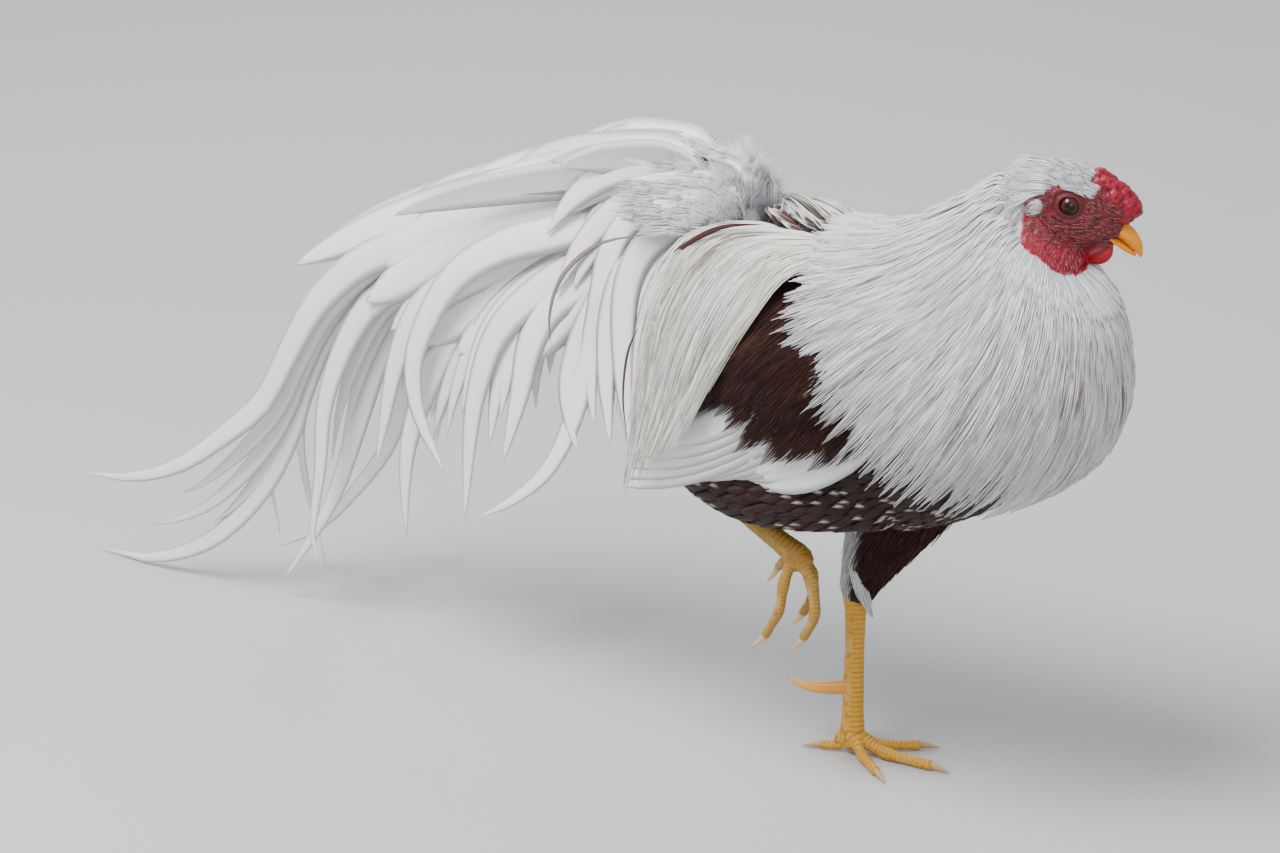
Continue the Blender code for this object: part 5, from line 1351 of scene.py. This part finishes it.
def plumage(name, roughness, sheen, barb_count, slant, bump):
    mat, tree, shader = start_finish(name, {"Roughness": roughness, "Sheen Weight": sheen, "Specular IOR Level": 0.25})
    pattern = tree.nodes.new("ShaderNodeGroup")
    pattern.node_tree = barbs
    set_inputs(pattern, {"Barb count": barb_count, "Slant": slant})
    height = pattern.outputs["Height"]
    share = maths(tree, "MULTIPLY_ADD", height, 0.30)  # adds the node's own 0.5, so the share stays above 0.2
    paint_and_relief(tree, shader, (0.86, 0.86, 0.88), share, height, bump, 0.0003)
    return mat


white_plumage = plumage("white_plumage", 0.60, 0.10, 9.0, 0.8, 0.5)
cream_plumage = plumage("cream_plumage", 0.55, 0.10, 9.0, 0.8, 0.4)
dark_plumage = plumage("chestnut_plumage", 0.50, 0.0, 12.0, 0.8, 0.5)
print("feather finishes:", white_plumage.name, cream_plumage.name, dark_plumage.name)

# %% [markdown]
# Skin, leg scales and horn are the tint with fine pores: noise darkens it and bumps it. A little light goes into them.
# The eye is glossy, with rings of colour by the map Gaze and fibres that roughen their edges.

# %% Skin, scale, horn and eye finishes
def hide(name, scale, shade, roughness, strength, deep):
    mat, tree, shader = start_finish(name, {"Roughness": roughness, "Specular IOR Level": 0.38,
                                            "Subsurface Weight": deep, "Subsurface Radius": (0.004, 0.001, 0.0008)})
    pores = grain(tree, scale, 4.0)
    paint_and_relief(tree, shader, shade, pores, pores, strength, 0.0004)
    return mat


def eye_finish():
    mat, tree, shader = start_finish("eye", {"Roughness": 0.08, "Specular IOR Level": 0.22, "Coat Weight": 0.2,
                                             "Coat Roughness": 0.03})
    fibres = maths(tree, "MULTIPLY", grain(tree, 1400.0, 2.0), 0.012)
    rings = tree.nodes.new("ShaderNodeValToRGB")
    ramp = rings.color_ramp.elements
    stops = ((0.0, (0.003, 0.002, 0.002)), (0.155, (0.003, 0.002, 0.002)), (0.175, (0.030, 0.006, 0.004)),
             (0.22, (0.055, 0.010, 0.007)), (0.28, (0.050, 0.009, 0.007)), (0.34, (0.020, 0.004, 0.004)),
             (1.0, (0.02, 0.007, 0.006)))
    ramp[1].position = stops[1][0]
    for k, (at, colour) in enumerate(stops):
        (ramp[k] if k < 2 else ramp.new(at)).color = (*colour, 1.0)
    wire(tree, maths(tree, "ADD", map_axes(tree, "Gaze")["X"], fibres), rings.inputs["Fac"])
    wire(tree, rings.outputs["Color"], shader.inputs["Base Color"])
    return mat


red_skin = hide("red_skin", 900.0, (0.62, 0.50, 0.50), 0.40, 0.5, 0.04)
scaly = hide("leg_scales", 1100.0, (0.72, 0.62, 0.50), 0.48, 0.35, 0.05)
horny = hide("horn", 500.0, (0.86, 0.78, 0.70), 0.32, 0.15, 0.10)
glossy = eye_finish()
print("other finishes:", red_skin.name, scaly.name, horny.name, glossy.name)

# %% [markdown]
# Each row names a piece, its finish, its slot and the solids of the frame that it replaces; the piece gets its finish
# and those solids are hidden.
# All of them ride on the one body, named root.

# %% Finishes, riding and replacing
FACE = ["head", "comb", "ear_left", "ear_right", "wattle_left", "wattle_right"]
CLAWS = ["claw_%s_%s" % (word, toe) for word in ("left", "right") for toe in ("middle", "inner", "outer", "hind")]
PIECES = [
    (skin, red_skin, "red_skin", FACE), (body_coat, dark_plumage, "chestnut", ["torso"]),
    (head_coat, white_plumage, "white", []), (thigh_coat, dark_plumage, "chestnut", ["thigh_left", "thigh_right"]),
    (legs[0], scaly, "yellow_scale", ["shank_left", "foot_left"]),
    (legs[1], scaly, "yellow_scale", ["shank_right", "foot_right"]),
    (claws, horny, "horn", CLAWS), (spurs, horny, "horn", ["spur_left", "spur_right"]),
    (beaks[0], horny, "horn", ["beak_upper"]), (beaks[1], horny, "horn", ["beak_lower"]),
    (eyeballs[0], glossy, "eye", ["eye_left"]), (eyeballs[1], glossy, "eye", ["eye_right"]),
    (hackles[0], white_plumage, "white", ["neck"]), (hackles[1], white_plumage, "white", []),
    (wings[0], dark_plumage, "chestnut", ["wing_right"]), (wings[1], dark_plumage, "chestnut", ["wing_left"]),
    (saddles[0], cream_plumage, "cream", ["saddle_right"]), (saddles[1], cream_plumage, "cream", ["saddle_left"]),
    (tail_coat, white_plumage, "white", ["tail"]), (fluff_coat, white_plumage, "white", [])]
for piece, finish, slot, nodes in PIECES:
    piece.data.materials.clear()
    piece.data.materials.append(finish)
    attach(piece, "root")
    if nodes:
        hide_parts(*nodes)
print("pieces:", len(PIECES))

# %% [markdown]
# A pale floor, soft lights and the camera of the photograph: 34 degrees round to the bird's right front,
# about 20 degrees above it, with a long lens.

# %% Floor, lights and camera
bpy.ops.mesh.primitive_plane_add(size=8.0, location=(0, 0, 0))
floor = bpy.context.object
floor.name = "floor"
pale, _, _ = start_finish("pale_floor", {"Base Color": (0.46, 0.455, 0.44, 1.0), "Roughness": 0.9})
floor.data.materials.append(pale)
sky = bpy.data.worlds.new("studio")
sky.use_nodes = True
set_inputs(sky.node_tree.nodes["Background"], {"Color": (0.86, 0.91, 1.0, 1.0), "Strength": 0.90})
bpy.context.scene.world = sky
LAMPS = [("key", (-0.5, -1.2, 2.4), (-0.15, 0, 0.2), 1.3, 125.0), ("fill", (1.8, -1.6, 1.2), (0, 0, 0.25), 1.4, 16.0),
         ("rim", (-1.2, 1.6, 1.8), (-0.1, 0, 0.25), 1.2, 18.0)]
for name, spot, aim, size, power in LAMPS:
    data = bpy.data.lights.new(name, "AREA")
    data.energy = power
    data.size = size
    lamp = link(name, data)
    lamp.location = spot
    lamp.rotation_euler = (Vector(spot) - Vector(aim)).to_track_quat("Z", "Y").to_euler()
TARGET = Vector((-0.16510913, 0.0, 0.18985418))
AZIMUTH, ELEVATION, DISTANCE = math.radians(34.0), math.radians(20.5), 3.0
LENS_MM, SENSOR_MM = 129.808, 36.0
back = Vector((math.sin(AZIMUTH) * math.cos(ELEVATION), -math.cos(AZIMUTH) * math.cos(ELEVATION), math.sin(ELEVATION)))
lens = bpy.data.cameras.new("camera")
lens.lens, lens.sensor_width = LENS_MM, SENSOR_MM
camera = link("camera", lens)
camera.location = TARGET + back * DISTANCE
camera.rotation_euler = back.to_track_quat("Z", "Y").to_euler()
bpy.context.scene.camera = camera
print("lamps:", [row[0] for row in LAMPS], "lens:", round(lens.lens, 1), "mm")
